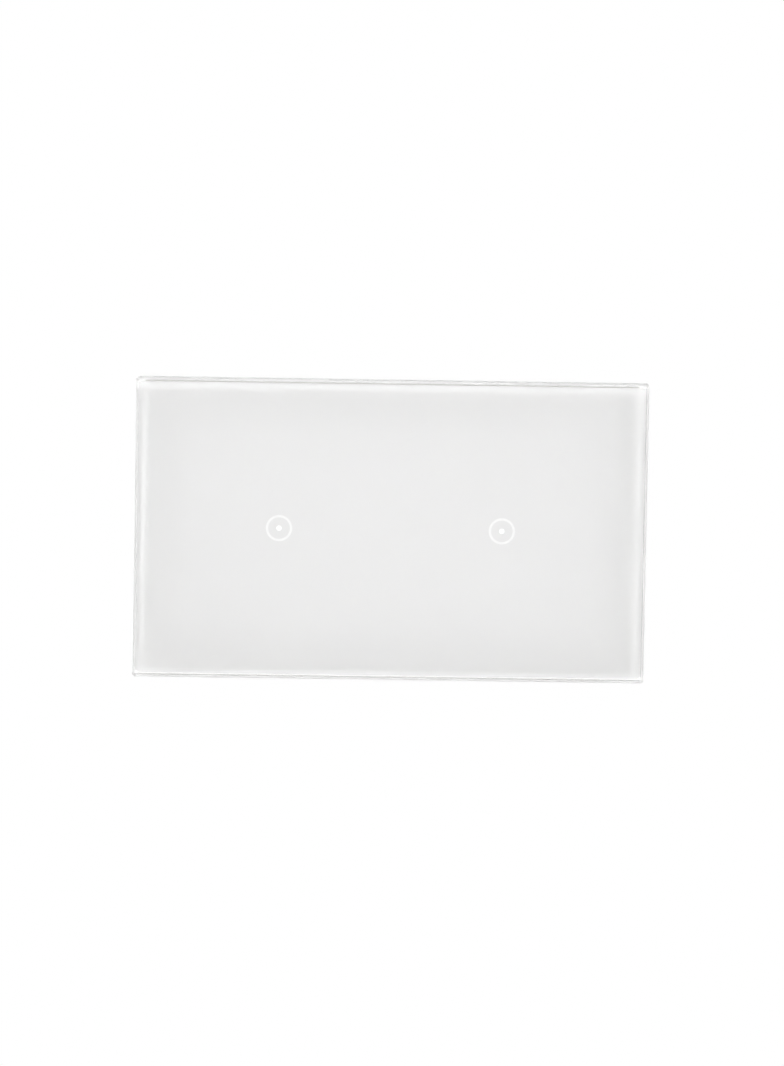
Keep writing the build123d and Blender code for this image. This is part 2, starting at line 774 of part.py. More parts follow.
def chip(mount_y, toward, x, z, length, width, height, legs):
    """A moulded chip with legs on its long sides, in the part being built.

    It stands on depth mount_y, and toward is -1 if it faces the front and 1 if it faces the back.
    """
    body_y = mount_y + toward * (chip_body_lift + (height - chip_body_lift) / 2)
    with Locations((x, body_y, z)):
        Box(length, height - chip_body_lift, width)
    shoulder_y = mount_y + toward * height / 2
    under_y = shoulder_y - toward * chip_leg_thickness
    sole_y = mount_y + toward * chip_leg_thickness
    for side in (-1, 1):
        root_z = z + side * width / 2
        knee_z = root_z + side * chip_leg_reach / 2
        tip_z = root_z + side * chip_leg_reach
        for i in range(legs):
            leg_x = x + (i - (legs - 1) / 2) * chip_leg_pitch
            with BuildSketch(Plane.YZ.offset(leg_x)) as leg:
                with BuildLine():
                    Polyline(
                        (shoulder_y, root_z),
                        (shoulder_y, knee_z),
                        (sole_y, knee_z),
                        (sole_y, tip_z),
                        (mount_y, tip_z),
                        (mount_y, knee_z - side * chip_leg_thickness),
                        (under_y, knee_z - side * chip_leg_thickness),
                        (under_y, root_z),
                        close=True,
                    )
                make_face()
            extrude(leg.sketch, amount=chip_leg_width / 2, both=True)


# Touch chip on the front of the touch board
with BuildPart() as touch_chip:
    chip(
        touch_board_front_y,
        toward_front,
        0,
        touch_chip_z,
        touch_chip_length,
        touch_chip_width,
        touch_chip_height,
        touch_chip_legs,
    )
save(touch_chip.part, "touch_chip")

# Resistors on the front of the touch board
with BuildPart() as touch_board_resistors:
    with BuildSketch(facing_front(touch_board_front_y)):
        with Locations((0, resistor_z)):
            with GridLocations(resistor_pitch_x, resistor_pitch_z, resistor_columns, 2):
                Rectangle(resistor_length, resistor_width)
    extrude(amount=resistor_height)
save(touch_board_resistors.part, "touch_board_resistors")

# Header strip behind the touch board, and its pins
header_strip_back_y = touch_board_back_y + header_strip_height
with BuildPart() as header_strip:
    with BuildSketch(facing_front(header_strip_back_y)):
        with Locations((0, header_z)):
            Rectangle(header_width, header_strip_width)
        with Locations(*header_spots):
            Rectangle(header_pin_width, header_pin_width, mode=Mode.SUBTRACT)
    extrude(amount=header_strip_height)
save(header_strip.part, "header_strip")

pin_front_y = touch_board_front_y - header_pin_tail
with BuildPart() as header_pins:
    with BuildSketch(facing_front(pin_front_y + header_pin_length)):
        with Locations(*header_spots):
            Rectangle(header_pin_width, header_pin_width)
    extrude(amount=header_pin_length)
save(header_pins.part, "header_pins")

# Socket strip on the front of the power board, which takes the header pins
with BuildPart() as socket_strip:
    with BuildSketch(facing_front(power_board_front_y)):
        with Locations((0, header_z)):
            Rectangle(header_width, header_strip_width)
        with Locations(*header_spots):
            Rectangle(socket_hole_width, socket_hole_width, mode=Mode.SUBTRACT)
    extrude(amount=socket_strip_height)
save(socket_strip.part, "socket_strip")

# Terminal positions and levels, from the power board to the back
terminal_spots = [(i - (terminal_count - 1) / 2) * terminal_pitch for i in range(terminal_count)]
clamp_front_y = power_board_back_y + clamp_start
mouth_front_y = clamp_front_y + clamp_floor
busbar_front_y = mouth_front_y + wire_mouth
busbar_back_y = busbar_front_y + busbar_thickness
clamp_top_y = busbar_back_y + clamp_play
clamp_back_y = clamp_top_y + clamp_top
ledge_y = clamp_back_y + clamp_travel + clamp_play
head_y = ledge_y + terminal_ledge
cell_bottom_z = terminal_bottom_z + terminal_bottom_wall
clamp_bottom_z = cell_bottom_z + clamp_mouth_gap
clamp_mid_z = clamp_bottom_z + clamp_length / 2
busbar_bottom_z = cell_bottom_z - busbar_pocket
busbar_leg_z = terminal_top_z + busbar_fit + busbar_thickness

# Power board, with holes for its screws and for the terminal legs
with BuildPart() as power_board:
    with BuildSketch(facing_front(power_board_back_y)):
        Rectangle(power_board_width, power_board_height)
        with GridLocations(power_screw_pitch, 0, 2, 1):
            Circle(power_screw_diameter / 2 + screw_hole_clearance, mode=Mode.SUBTRACT)
        with Locations(*[(x, busbar_leg_z - busbar_thickness / 2) for x in terminal_spots]):
            Rectangle(busbar_width + 2 * busbar_fit, busbar_thickness + 2 * busbar_fit, mode=Mode.SUBTRACT)
    extrude(amount=power_board_thickness)
save(power_board.part, "power_board")

# Power board screws
with BuildPart() as power_board_screws:
    pan_screws(
        [(-power_screw_pitch / 2, 0), (power_screw_pitch / 2, 0)],
        power_board_front_y,
        power_screw_length,
        power_screw_diameter,
        power_screw_head_diameter,
        power_screw_head_height,
    )
save(power_board_screws.part, "power_board_screws")

# Terminal housing: one open cell for each clamp, a square wire mouth below, a screw well behind
with BuildPart() as terminal_housing:
    housing_depth = box_depth - power_board_back_y
    with Locations((0, power_board_back_y, terminal_bottom_z)):
        Box(
            terminal_housing_width,
            housing_depth,
            terminal_housing_height,
            align=(Align.CENTER, Align.MIN, Align.MIN),
        )
    rear_edges = terminal_housing.faces().sort_by(Axis.Y)[-1].edges()
    fillet(rear_edges, radius=terminal_edge_fillet)
    for x in terminal_spots:
        with Locations((x, power_board_back_y - overrun, cell_bottom_z)):
            Box(
                terminal_cell_width,
                ledge_y - power_board_back_y + overrun,
                terminal_cell_height,
                align=(Align.CENTER, Align.MIN, Align.MIN),
                mode=Mode.SUBTRACT,
            )
        with BuildSketch(Plane.XY.offset(terminal_bottom_z)):
            with Locations((x, mouth_front_y + wire_mouth / 2)):
                Rectangle(wire_mouth, wire_mouth)
        extrude(amount=terminal_bottom_wall + overrun, mode=Mode.SUBTRACT)
        with Locations((x, busbar_front_y - busbar_fit, busbar_bottom_z)):
            Box(
                busbar_width + 2 * busbar_fit,
                busbar_thickness + 2 * busbar_fit,
                terminal_top_z - busbar_bottom_z + overrun,
                align=(Align.CENTER, Align.MIN, Align.MIN),
                mode=Mode.SUBTRACT,
            )
        with BuildSketch(facing_front(box_depth + overrun)):
            with Locations((x, clamp_mid_z)):
                Circle(terminal_screw_head_diameter / 2 + terminal_well_clearance)
        extrude(amount=box_depth + overrun - head_y, mode=Mode.SUBTRACT)
        with BuildSketch(facing_front(head_y + overrun)):
            with Locations((x, clamp_mid_z)):
                Circle(terminal_screw_diameter / 2 + terminal_ledge_hole_clearance)
        extrude(amount=terminal_ledge + 2 * overrun, mode=Mode.SUBTRACT)
    mouth_edges = terminal_housing.faces().sort_by(Axis.Z)[0].inner_wires().edges()
    chamfer(mouth_edges, length=wire_mouth_chamfer)
save(terminal_housing.part, "terminal_housing")

# Busbars: a flat strip through each clamp that bends down to the power board
with BuildPart() as terminal_busbars:
    leg_tip_y = power_board_front_y - busbar_tail
    for x in terminal_spots:
        with BuildSketch(Plane.YZ.offset(x)):
            with BuildLine():
                Polyline(
                    (busbar_front_y, busbar_bottom_z),
                    (busbar_back_y, busbar_bottom_z),
                    (busbar_back_y, busbar_leg_z),
                    (leg_tip_y, busbar_leg_z),
                    (leg_tip_y, busbar_leg_z - busbar_thickness),
                    (busbar_front_y, busbar_leg_z - busbar_thickness),
                    close=True,
                )
            make_face()
        extrude(amount=busbar_width / 2, both=True)
save(terminal_busbars.part, "terminal_busbars")


def make_terminal_screw(number, x):
    """Slotted terminal screw: its head stands on the ledge, its tip just clears the busbar."""
    tip_y = busbar_back_y + terminal_screw_tip_gap
    head_back_y = head_y + terminal_screw_head_height
    with BuildPart() as terminal_screw:
        with BuildSketch(facing_front(head_y)):
            with Locations((x, clamp_mid_z)):
                Circle(terminal_screw_diameter / 2)
        extrude(amount=head_y - tip_y)
        with BuildSketch(facing_front(head_back_y)):
            with Locations((x, clamp_mid_z)):
                Circle(terminal_screw_head_diameter / 2)
        extrude(amount=terminal_screw_head_height)
        fillet(terminal_screw.edges().group_by(Axis.Y)[-1], radius=terminal_screw_head_height / 6)
        chamfer(terminal_screw.edges().group_by(Axis.Y)[0], length=terminal_screw_diameter / 8)
        with Locations((x, head_back_y, clamp_mid_z)):
            Box(
                terminal_screw_head_diameter + overrun,
                2 * terminal_screw_slot_depth,
                terminal_screw_slot_width,
                mode=Mode.SUBTRACT,
            )
    save(terminal_screw.part, f"terminal_screw_{number}")


def make_terminal_clamp(number, x):
    """Rising clamp: a closed cage around wire and busbar, threaded on its screw."""
    cage_width = wire_mouth + 2 * clamp_side_wall
    with BuildPart() as terminal_clamp:
        with Locations((x, clamp_front_y, clamp_bottom_z)):
            Box(
                cage_width,
                clamp_back_y - clamp_front_y,
                clamp_length,
                align=(Align.CENTER, Align.MIN, Align.MIN),
            )
        fillet(terminal_clamp.edges().filter_by(Axis.Z), radius=clamp_side_wall / 2)
        with Locations((x, mouth_front_y, clamp_mid_z)):
            Box(
                wire_mouth,
                clamp_top_y - mouth_front_y,
                clamp_length + 2 * overrun,
                align=(Align.CENTER, Align.MIN, Align.CENTER),
                mode=Mode.SUBTRACT,
            )
        with BuildSketch(facing_front(clamp_back_y + overrun)):
            with Locations((x, clamp_mid_z)):
                Circle(terminal_screw_diameter / 2 + terminal_thread_clearance)
        extrude(amount=clamp_top + 2 * overrun, mode=Mode.SUBTRACT)
    save(terminal_clamp.part, f"terminal_clamp_{number}")


for index, spot in enumerate(terminal_spots):
    make_terminal_screw(index + 1, spot)
    make_terminal_clamp(index + 1, spot)


def relay_box(side, u_low, u_high, y_low, y_high, width, mode=Mode.ADD):
    """Box in a relay's own frame: u runs from its outer, hinged end to its inner, contact end."""
    x = side * (relay_x - (u_low + u_high) / 2)
    with Locations((x, (y_low + y_high) / 2, relay_z)):
        Box(u_high - u_low, y_high - y_low, width, mode=mode)


def relay_disc(side, u, y_low, y_high, diameter, mode=Mode.ADD):
    """Upright disc or pin in a relay's own frame."""
    with BuildSketch(facing_front(y_high)) as disc:
        with Locations((side * (relay_x - u), relay_z)):
            Circle(diameter / 2)
    extrude(disc.sketch, amount=y_high - y_low, mode=mode)


# Relay levels from the power board, and places along its length
relay_end = relay_length / 2
relay_inner_end = relay_end - relay_wall
relay_top_y = box_inner_back_y - relay_back_gap
relay_base_y = component_y + relay_base_height
yoke_foot_y = relay_base_y + relay_yoke_thickness
contact_bar_back_y = relay_top_y - relay_wall - relay_contact_case_gap
contact_bar_y = contact_bar_back_y - relay_contact_bar_thickness
upper_contact_y = contact_bar_y - relay_contact_height
moving_contact_y = upper_contact_y - relay_contact_closed_gap
armature_top_y = moving_contact_y - relay_contact_height - relay_leaf_thickness
armature_y = armature_top_y - relay_armature_thickness
pole_y = armature_y - relay_armature_gap
coil_top_y = pole_y - relay_pole_height
lower_contact_y = armature_top_y - relay_contact_height - relay_contact_travel
yoke_u = -relay_inner_end + relay_yoke_end_gap
core_u = -relay_core_offset
contact_u = relay_inner_end - relay_contact_end_gap - relay_contact_diameter / 2


def make_relay(side, name):
    """One relay: case, base, coil, yoke with its core, armature and fixed contacts.

    The armature tilts on a round bead along its edge, which rests on the yoke.
    """
    center = side * relay_x
    with BuildPart() as relay_case:
        with Locations((center, component_y, relay_z)):
            relay_height = relay_top_y - component_y
            Box(relay_length, relay_height, relay_width, align=(Align.CENTER, Align.MIN, Align.CENTER))
        fillet(relay_case.edges().filter_by(Axis.Y), radius=relay_case_radius)
        fillet(relay_case.faces().sort_by(Axis.Y)[-1].edges(), radius=relay_case_radius / 2)
        relay_box(
            side,
            -relay_inner_end,
            relay_inner_end,
            component_y - overrun,
            relay_top_y - relay_wall,
            relay_width - 2 * relay_wall,
            mode=Mode.SUBTRACT,
        )
    save(relay_case.part, f"{name}_relay_case")

    base_end = relay_inner_end - relay_base_gap
    with BuildPart() as relay_base:
        relay_box(
            side,
            -base_end,
            base_end,
            component_y,
            relay_base_y,
            relay_width - 2 * relay_wall - 2 * relay_base_gap,
        )
    save(relay_base.part, f"{name}_relay_base")

    with BuildPart() as relay_yoke:
        yoke_back_u = yoke_u + relay_yoke_thickness
        foot_end_u = core_u + relay_pole_diameter / 2
        yoke_top_y = armature_y - relay_armature_hinge_gap
        relay_box(side, yoke_u, yoke_back_u, relay_base_y, yoke_top_y, relay_yoke_width)
        relay_box(side, yoke_u, foot_end_u, relay_base_y, yoke_foot_y, relay_yoke_width)
        relay_disc(side, core_u, yoke_foot_y, coil_top_y, relay_core_diameter)
        relay_disc(side, core_u, coil_top_y, pole_y, relay_pole_diameter)
    save(relay_yoke.part, f"{name}_relay_yoke")

    with BuildPart() as relay_coil:
        relay_disc(side, core_u, yoke_foot_y, coil_top_y, relay_coil_diameter)
        relay_disc(
            side,
            core_u,
            yoke_foot_y - overrun,
            coil_top_y + overrun,
            relay_core_diameter + 2 * relay_core_fit,
            mode=Mode.SUBTRACT,
        )
    save(relay_coil.part, f"{name}_relay_coil")

    with BuildPart() as relay_armature:
        armature_end_u = core_u + relay_pole_diameter / 2 + relay_armature_overlap
        leaf_end_u = contact_u + relay_contact_diameter / 2
        relay_box(side, yoke_u, armature_end_u, armature_y, armature_top_y, relay_yoke_width)
        with BuildSketch(Plane.XY.offset(relay_z - relay_yoke_width / 2)) as bead:
            with Locations((side * (relay_x - yoke_u), armature_y)):
                Circle(relay_armature_bead_diameter / 2)
        extrude(bead.sketch, amount=relay_yoke_width)
        relay_box(
            side,
            core_u,
            leaf_end_u,
            armature_top_y,
            armature_top_y + relay_leaf_thickness,
            relay_leaf_width,
        )
        relay_disc(
            side,
            contact_u,
            armature_top_y - relay_contact_height,
            armature_top_y,
            relay_contact_diameter,
        )
        relay_disc(
            side,
            contact_u,
            armature_top_y + relay_leaf_thickness,
            moving_contact_y,
            relay_contact_diameter,
        )
    save(relay_armature.part, f"{name}_relay_armature")

    with BuildPart() as relay_contacts:
        bar_end_u = relay_inner_end - relay_base_gap
        bar_start_u = contact_u - relay_contact_diameter / 2
        post_start_u = bar_end_u - relay_contact_end_gap
        half_width = relay_width / 2 - relay_wall - relay_base_gap
        relay_disc(side, contact_u, upper_contact_y, contact_bar_y, relay_contact_diameter)
        lower_bar_y = lower_contact_y - relay_contact_height
        relay_box(
            side,
            bar_start_u,
            bar_end_u,
            contact_bar_y,
            contact_bar_back_y,
            2 * half_width,
        )
        relay_disc(side, contact_u, lower_bar_y, lower_contact_y, relay_contact_diameter)
        relay_box(
            side,
            bar_start_u,
            bar_end_u,
            lower_bar_y - relay_contact_bar_thickness,
            lower_bar_y,
            relay_leaf_width,
        )
        relay_box(
            side,
            bar_end_u - relay_contact_bar_thickness,
            bar_end_u,
            relay_base_y,
            lower_bar_y - relay_contact_bar_thickness,
            relay_leaf_width,
        )
        post_x = side * (relay_x - (bar_end_u - relay_contact_bar_thickness / 2))
        for edge in (-1, 1):
            post_z = relay_z + edge * (half_width - relay_contact_bar_thickness / 2)
            with Locations((post_x, relay_base_y, post_z)):
                Box(
                    relay_contact_bar_thickness,
                    contact_bar_y - relay_base_y,
                    relay_contact_bar_thickness,
                    align=(Align.CENTER, Align.MIN, Align.CENTER),
                )
    save(relay_contacts.part, f"{name}_relay_contacts")


make_relay(-1, "left")
make_relay(1, "right")

# Transformer: two E-shaped ferrite halves as one core, a bobbin on its middle leg, and the winding
bobbin_foot_y = component_y + bobbin_foot
core_depth = box_inner_back_y - core_back_gap - bobbin_foot_y
core_mid_y = bobbin_foot_y + core_depth / 2
window_height = core_depth - 2 * core_leg
middle_leg = core_leg + bobbin_wall
with BuildPart() as transformer_core:
    with BuildSketch(Plane.XY.offset(transformer_z - core_thickness / 2)):
        with Locations((transformer_x, core_mid_y)):
            Rectangle(core_width, core_depth)
            Rectangle(core_width - 2 * core_leg, window_height, mode=Mode.SUBTRACT)
            Rectangle(middle_leg, window_height)
    extrude(amount=core_thickness)
save(transformer_core.part, "transformer_core")

bobbin_gap = capacitor_bead / 3
tube_width = middle_leg + 2 * bobbin_gap + 2 * bobbin_wall
tube_thickness = core_thickness + 2 * bobbin_gap + 2 * bobbin_wall
bobbin_low_y = core_mid_y - window_height / 2 + bobbin_gap
bobbin_high_y = core_mid_y + window_height / 2 - bobbin_gap
window_clear = core_width - 2 * core_leg - 2 * bobbin_gap
bobbin_outer_thickness = tube_thickness + 2 * winding_wall
with BuildPart() as transformer_bobbin:
    with BuildSketch(facing_front(bobbin_high_y)):
        with Locations((transformer_x, transformer_z)):
            Rectangle(tube_width, tube_thickness)
    extrude(amount=bobbin_high_y - bobbin_low_y)
    for flange_y in (bobbin_low_y + bobbin_flange, bobbin_high_y):
        with BuildSketch(facing_front(flange_y)):
            with Locations((transformer_x, transformer_z)):
                Rectangle(window_clear, bobbin_outer_thickness)
        extrude(amount=bobbin_flange)
    for edge in (-1, 1):
        foot_z = transformer_z + edge * (bobbin_outer_thickness / 2 - bobbin_wall)
        with Locations((transformer_x, component_y, foot_z)):
            Box(
                window_clear,
                bobbin_low_y - component_y,
                2 * bobbin_wall,
                align=(Align.CENTER, Align.MIN, Align.CENTER),
            )
    with BuildSketch(facing_front(bobbin_high_y + overrun)):
        with Locations((transformer_x, transformer_z)):
            Rectangle(middle_leg + 2 * bobbin_gap, core_thickness + 2 * bobbin_gap)
    extrude(amount=bobbin_high_y - bobbin_low_y + 2 * overrun, mode=Mode.SUBTRACT)
save(transformer_bobbin.part, "transformer_bobbin")

with BuildPart() as transformer_winding:
    with BuildSketch(facing_front(bobbin_high_y - bobbin_flange)):
        with Locations((transformer_x, transformer_z)):
            winding_width = window_clear - bobbin_gap
            RectangleRounded(winding_width, bobbin_outer_thickness - bobbin_gap, bobbin_wall)
            Rectangle(tube_width, tube_thickness, mode=Mode.SUBTRACT)
    extrude(amount=bobbin_high_y - bobbin_low_y - 2 * bobbin_flange)
save(transformer_winding.part, "transformer_winding")


def leads(spots, top_y):
    """Wire leads through the power board, in the part being built."""
    with BuildSketch(facing_front(top_y)) as rounds:
        with Locations(*spots):
            Circle(lead_diameter / 2)
    extrude(rounds.sketch, amount=top_y - power_board_back_y)


# Film capacitor: a moulded box on two leads
with BuildPart() as film_capacitor:
    with Locations((film_capacitor_x, component_y, film_capacitor_z)):
        Box(
            film_capacitor_length,
            box_inner_back_y - film_capacitor_back_gap - component_y,
            film_capacitor_width,
            align=(Align.CENTER, Align.MIN, Align.CENTER),
        )
    fillet(film_capacitor.edges().filter_by(Axis.Y), radius=box_part_radius)
    fillet(film_capacitor.faces().sort_by(Axis.Y)[-1].edges(), radius=box_part_radius / 2)
    leads(
        [(film_capacitor_x + edge * lead_pitch, film_capacitor_z) for edge in (-1, 1)],
        component_y,
    )
save(film_capacitor.part, "film_capacitor")


def can_capacitor(x, z, diameter, back_gap):
    """Upright can with a rolled bead near its foot and a crossed vent on its top."""
    radius = diameter / 2
    top_y = box_inner_back_y - back_gap
    with BuildSketch(facing_front(top_y)) as can:
        with Locations((x, z)):
            Circle(radius)
    extrude(can.sketch, amount=top_y - component_y)
    bead_y = component_y + capacitor_bead_height
    with BuildSketch(facing_front(bead_y)) as bead:
        with Locations((x, z)):
            Circle(radius + overrun)
            Circle(radius - capacitor_bead, mode=Mode.SUBTRACT)
    extrude(bead.sketch, amount=capacitor_bead, mode=Mode.SUBTRACT)
    vent_length = diameter * capacitor_vent_share
    with BuildSketch(facing_front(top_y + overrun)) as vent:
        with Locations((x, z)):
            Rectangle(vent_length, capacitor_vent_width)
            Rectangle(capacitor_vent_width, vent_length)
    extrude(vent.sketch, amount=capacitor_vent_depth + overrun, mode=Mode.SUBTRACT)
    leads([(x + edge * lead_pitch / 4, z) for edge in (-1, 1)], component_y)


# Input capacitor
with BuildPart() as input_capacitor:
    can_capacitor(
        input_capacitor_x,
        input_capacitor_z,
        input_capacitor_diameter,
        input_capacitor_back_gap,
    )
save(input_capacitor.part, "input_capacitor")

# Output capacitor
with BuildPart() as output_capacitor:
    can_capacitor(
        output_capacitor_x,
        output_capacitor_z,
        output_capacitor_diameter,
        output_capacitor_back_gap,
    )
save(output_capacitor.part, "output_capacitor")

# Varistor: a coated disc standing on edge on two leads
with BuildPart() as varistor:
    disc_y = component_y + varistor_lift + varistor_diameter / 2
    with BuildSketch(Plane.XY.offset(varistor_z - varistor_thickness / 2)):
        with Locations((varistor_x, disc_y)):
            Circle(varistor_diameter / 2)
    extrude(amount=varistor_thickness)
    fillet(varistor.edges(), radius=varistor_thickness / 3)
    leads([(varistor_x + edge * lead_pitch / 2, varistor_z) for edge in (-1, 1)], disc_y)
save(varistor.part, "varistor")

# Fuse: a round moulded can with a raised rim
with BuildPart() as fuse:
    fuse_top_y = component_y + fuse_height
    with BuildSketch(facing_front(fuse_top_y)):
        with Locations((fuse_x, fuse_z)):
            Circle(fuse_diameter / 2)
    extrude(amount=fuse_height)
    fillet(fuse.edges().group_by(Axis.Y)[-1], radius=fuse_rim)
    leads([(fuse_x + edge * lead_pitch / 2, fuse_z) for edge in (-1, 1)], component_y)
save(fuse.part, "fuse")

# Input choke: a drum core with its winding shrunk in, drawn in at the waist
with BuildPart() as input_choke:
    choke_top_y = component_y + choke_height
    with BuildSketch(facing_front(choke_top_y)):
        with Locations((choke_x, choke_z)):
            Circle(choke_diameter / 2)
    extrude(amount=choke_height)
    with BuildSketch(facing_front(choke_top_y - choke_flange)):
        with Locations((choke_x, choke_z)):
            Circle(choke_diameter / 2 + overrun)
            Circle(choke_diameter / 2 - choke_waist, mode=Mode.SUBTRACT)
    extrude(amount=choke_height - 2 * choke_flange, mode=Mode.SUBTRACT)
    leads([(choke_x + edge * lead_pitch / 4, choke_z) for edge in (-1, 1)], component_y)
save(input_choke.part, "input_choke")

# Bridge rectifier
with BuildPart() as bridge_rectifier:
    chip(
        power_board_back_y,
        toward_back,
        bridge_x,
        bridge_z,
        bridge_length,
        bridge_width,
        bridge_height,
        bridge_legs,
    )
save(bridge_rectifier.part, "bridge_rectifier")

# Supply chip
with BuildPart() as supply_chip:
    chip(
        power_board_back_y,
        toward_back,
        supply_chip_x,
        supply_chip_z,
        supply_chip_length,
        supply_chip_width,
        supply_chip_height,
        supply_chip_legs,
    )
save(supply_chip.part, "supply_chip")

# Driver transistors, one for each relay
with BuildPart() as driver_transistors:
    for side in (-1, 1):
        chip(
            power_board_back_y,
            toward_back,
            side * transistor_x,
            transistor_z,
            transistor_length,
            transistor_width,
            transistor_height,
            transistor_legs,
        )
save(driver_transistors.part, "driver_transistors")
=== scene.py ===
# %% [markdown]
# # A two-gang touch light switch with a painted glass front
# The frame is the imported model: every piece at its real place, in metres, with X to the right, Z up and
# the glass facing -Y. It is loaded first, and everything below is built around it.

# %% Load the frame
import math

import bmesh
import bpy
from mathutils import Matrix, Vector


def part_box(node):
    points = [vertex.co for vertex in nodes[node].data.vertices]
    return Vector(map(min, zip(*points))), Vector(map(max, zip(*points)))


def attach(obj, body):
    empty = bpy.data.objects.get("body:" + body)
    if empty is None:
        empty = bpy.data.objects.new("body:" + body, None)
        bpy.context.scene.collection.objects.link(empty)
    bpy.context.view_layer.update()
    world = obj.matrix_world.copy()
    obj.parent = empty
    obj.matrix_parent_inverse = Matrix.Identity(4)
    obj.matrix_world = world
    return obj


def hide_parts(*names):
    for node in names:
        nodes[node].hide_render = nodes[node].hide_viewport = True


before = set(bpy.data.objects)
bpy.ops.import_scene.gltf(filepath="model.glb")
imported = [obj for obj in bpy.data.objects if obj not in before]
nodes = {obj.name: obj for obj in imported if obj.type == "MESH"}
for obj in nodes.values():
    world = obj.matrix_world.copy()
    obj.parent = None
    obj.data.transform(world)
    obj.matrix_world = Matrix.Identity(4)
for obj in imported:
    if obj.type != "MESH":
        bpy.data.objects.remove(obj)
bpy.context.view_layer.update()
MM = 0.001

# %% [markdown]
# ## Camera
# The photograph looks at the glass almost squarely: a little from above, which shows the top edge of the
# glass as a thin band, and turned by one degree. A long lens a little over two metres away gives the same
# nearly parallel edges. The image scale is worked out from the width of the glass in the photograph, and a
# step aside and aloft brings the middle of the glass to its own place in the picture.

# %% Camera
IMAGE_WIDTH, IMAGE_HEIGHT = 784, 1066
PIXELS_PER_METRE = 3506.0
CAMERA_DISTANCE = 2.2
CAMERA_ABOVE_DEG = 7.0
CAMERA_LEFT_DEG = 1.5
CAMERA_ROLL_DEG = 1.02
GLASS_CENTRE_PIXEL = (390.5, 530.0)
SENSOR_WIDTH_MM = 36.0
FARTHEST_SEEN = 50.0

glass_low, glass_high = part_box("glass_panel")
glass_centre = (glass_low + glass_high) / 2


def look_from(azimuth_deg, elevation_deg, roll_deg, distance, target):
    """The camera's matrix for a place on a sphere round the target."""
    azimuth, elevation = math.radians(azimuth_deg), math.radians(elevation_deg)
    direction = Vector((
        math.sin(azimuth) * math.cos(elevation),
        -math.cos(azimuth) * math.cos(elevation),
        math.sin(elevation),
    ))
    turn = (-direction).to_track_quat("-Z", "Y").to_matrix().to_4x4()
    roll = Matrix.Rotation(math.radians(roll_deg), 4, "Z")
    return Matrix.Translation(target + direction * distance) @ turn @ roll


camera_data = bpy.data.cameras.new("studio_camera")
camera = bpy.data.objects.new("studio_camera", camera_data)
bpy.context.scene.collection.objects.link(camera)
camera_data.sensor_width = SENSOR_WIDTH_MM
focal_pixels = PIXELS_PER_METRE * CAMERA_DISTANCE
camera_data.lens = focal_pixels / IMAGE_HEIGHT * SENSOR_WIDTH_MM
camera_data.clip_end = FARTHEST_SEEN
camera_matrix = look_from(
    -CAMERA_LEFT_DEG, CAMERA_ABOVE_DEG, CAMERA_ROLL_DEG, CAMERA_DISTANCE, glass_centre
)
aside = (IMAGE_WIDTH / 2 - GLASS_CENTRE_PIXEL[0]) / PIXELS_PER_METRE
aloft = (GLASS_CENTRE_PIXEL[1] - IMAGE_HEIGHT / 2) / PIXELS_PER_METRE
camera.matrix_world = camera_matrix @ Matrix.Translation((aside, aloft, 0))
bpy.context.scene.camera = camera
print("lens", round(camera_data.lens, 1), "mm at", CAMERA_DISTANCE, "m")

# %% [markdown]
# ## Nodes and colours
# Every material and every Geometry Nodes tree below is written with the same two helpers. One turns a
# colour from the sRGB hex value that a paint chart gives to the linear value that a shader takes. The other
# adds one node with its settings, its values and its links. A third puts a new mesh in the scene, always at
# the origin: a piece's place is in its mesh, as it is in the frame's own pieces.

# %% Helpers for nodes
def to_linear(hex_colour):
    """A colour written as sRGB hex, as the linear values that a shader socket takes."""
    channels = [int(hex_colour[i:i + 2], 16) / 255 for i in (1, 3, 5)]
    return [c / 12.92 if c <= 0.04045 else ((c + 0.055) / 1.055) ** 2.4 for c in channels] + [1.0]


def add(tree, kind, inputs=(), **settings):
    """Add a node: its settings, then each input as a value, an output or a node's first output."""
    made = tree.nodes.new(kind)
    for name, value in settings.items():
        setattr(made, name, value)
    for name, value in dict(inputs).items():
        if isinstance(value, bpy.types.Node):
            value = value.outputs[0]
        if isinstance(value, bpy.types.NodeSocket):
            tree.links.new(value, made.inputs[name])
        else:
            made.inputs[name].default_value = value
    return made


def link_piece(name, mesh):
    """Put a mesh in the scene as an object at the origin."""
    piece = bpy.data.objects.new(name, mesh)
    bpy.context.scene.collection.objects.link(piece)
    return piece


WHITE = to_linear("#FFFFFF")
print("white is", WHITE)

# %% [markdown]
# ## Studio
# The photograph has a pure white background and soft light all round, strongest from in front and above.
# The world could do both jobs, but light of full white from all round would leave the switch no darker
# than what is behind it. So the camera sees a white world, and the pieces are lit by one of half its
# strength.
#
# Large area lights give the light its shape. One hangs near the camera's line, a wide one above it gives
# most of the light, and one stands at each side. Two more, overhead and behind, are for the back, because
# the box that goes into the wall is looked at too. The last is a low sheet behind the switch, which
# brightens the lower edge of the glass. It is a little brighter than the world, or it would show in the
# glass as a dark patch. The two side lights aren't mirrored, because a front so flat would show each of
# them as a hard white block.
#
# The pale floor is a disc 1.2 m below the switch, as far as the floor of a room is below a switch on its
# wall, and it ends before it would come into the photograph's view.
#
# Glass over white paint passes light to and fro many times, so the bounce counts are raised. Cycles also
# blurs glass for light that has bounced off paint, which darkens paint seen through glass, so that is off.

# %% World and lights
WORLD_LIGHT = 0.52
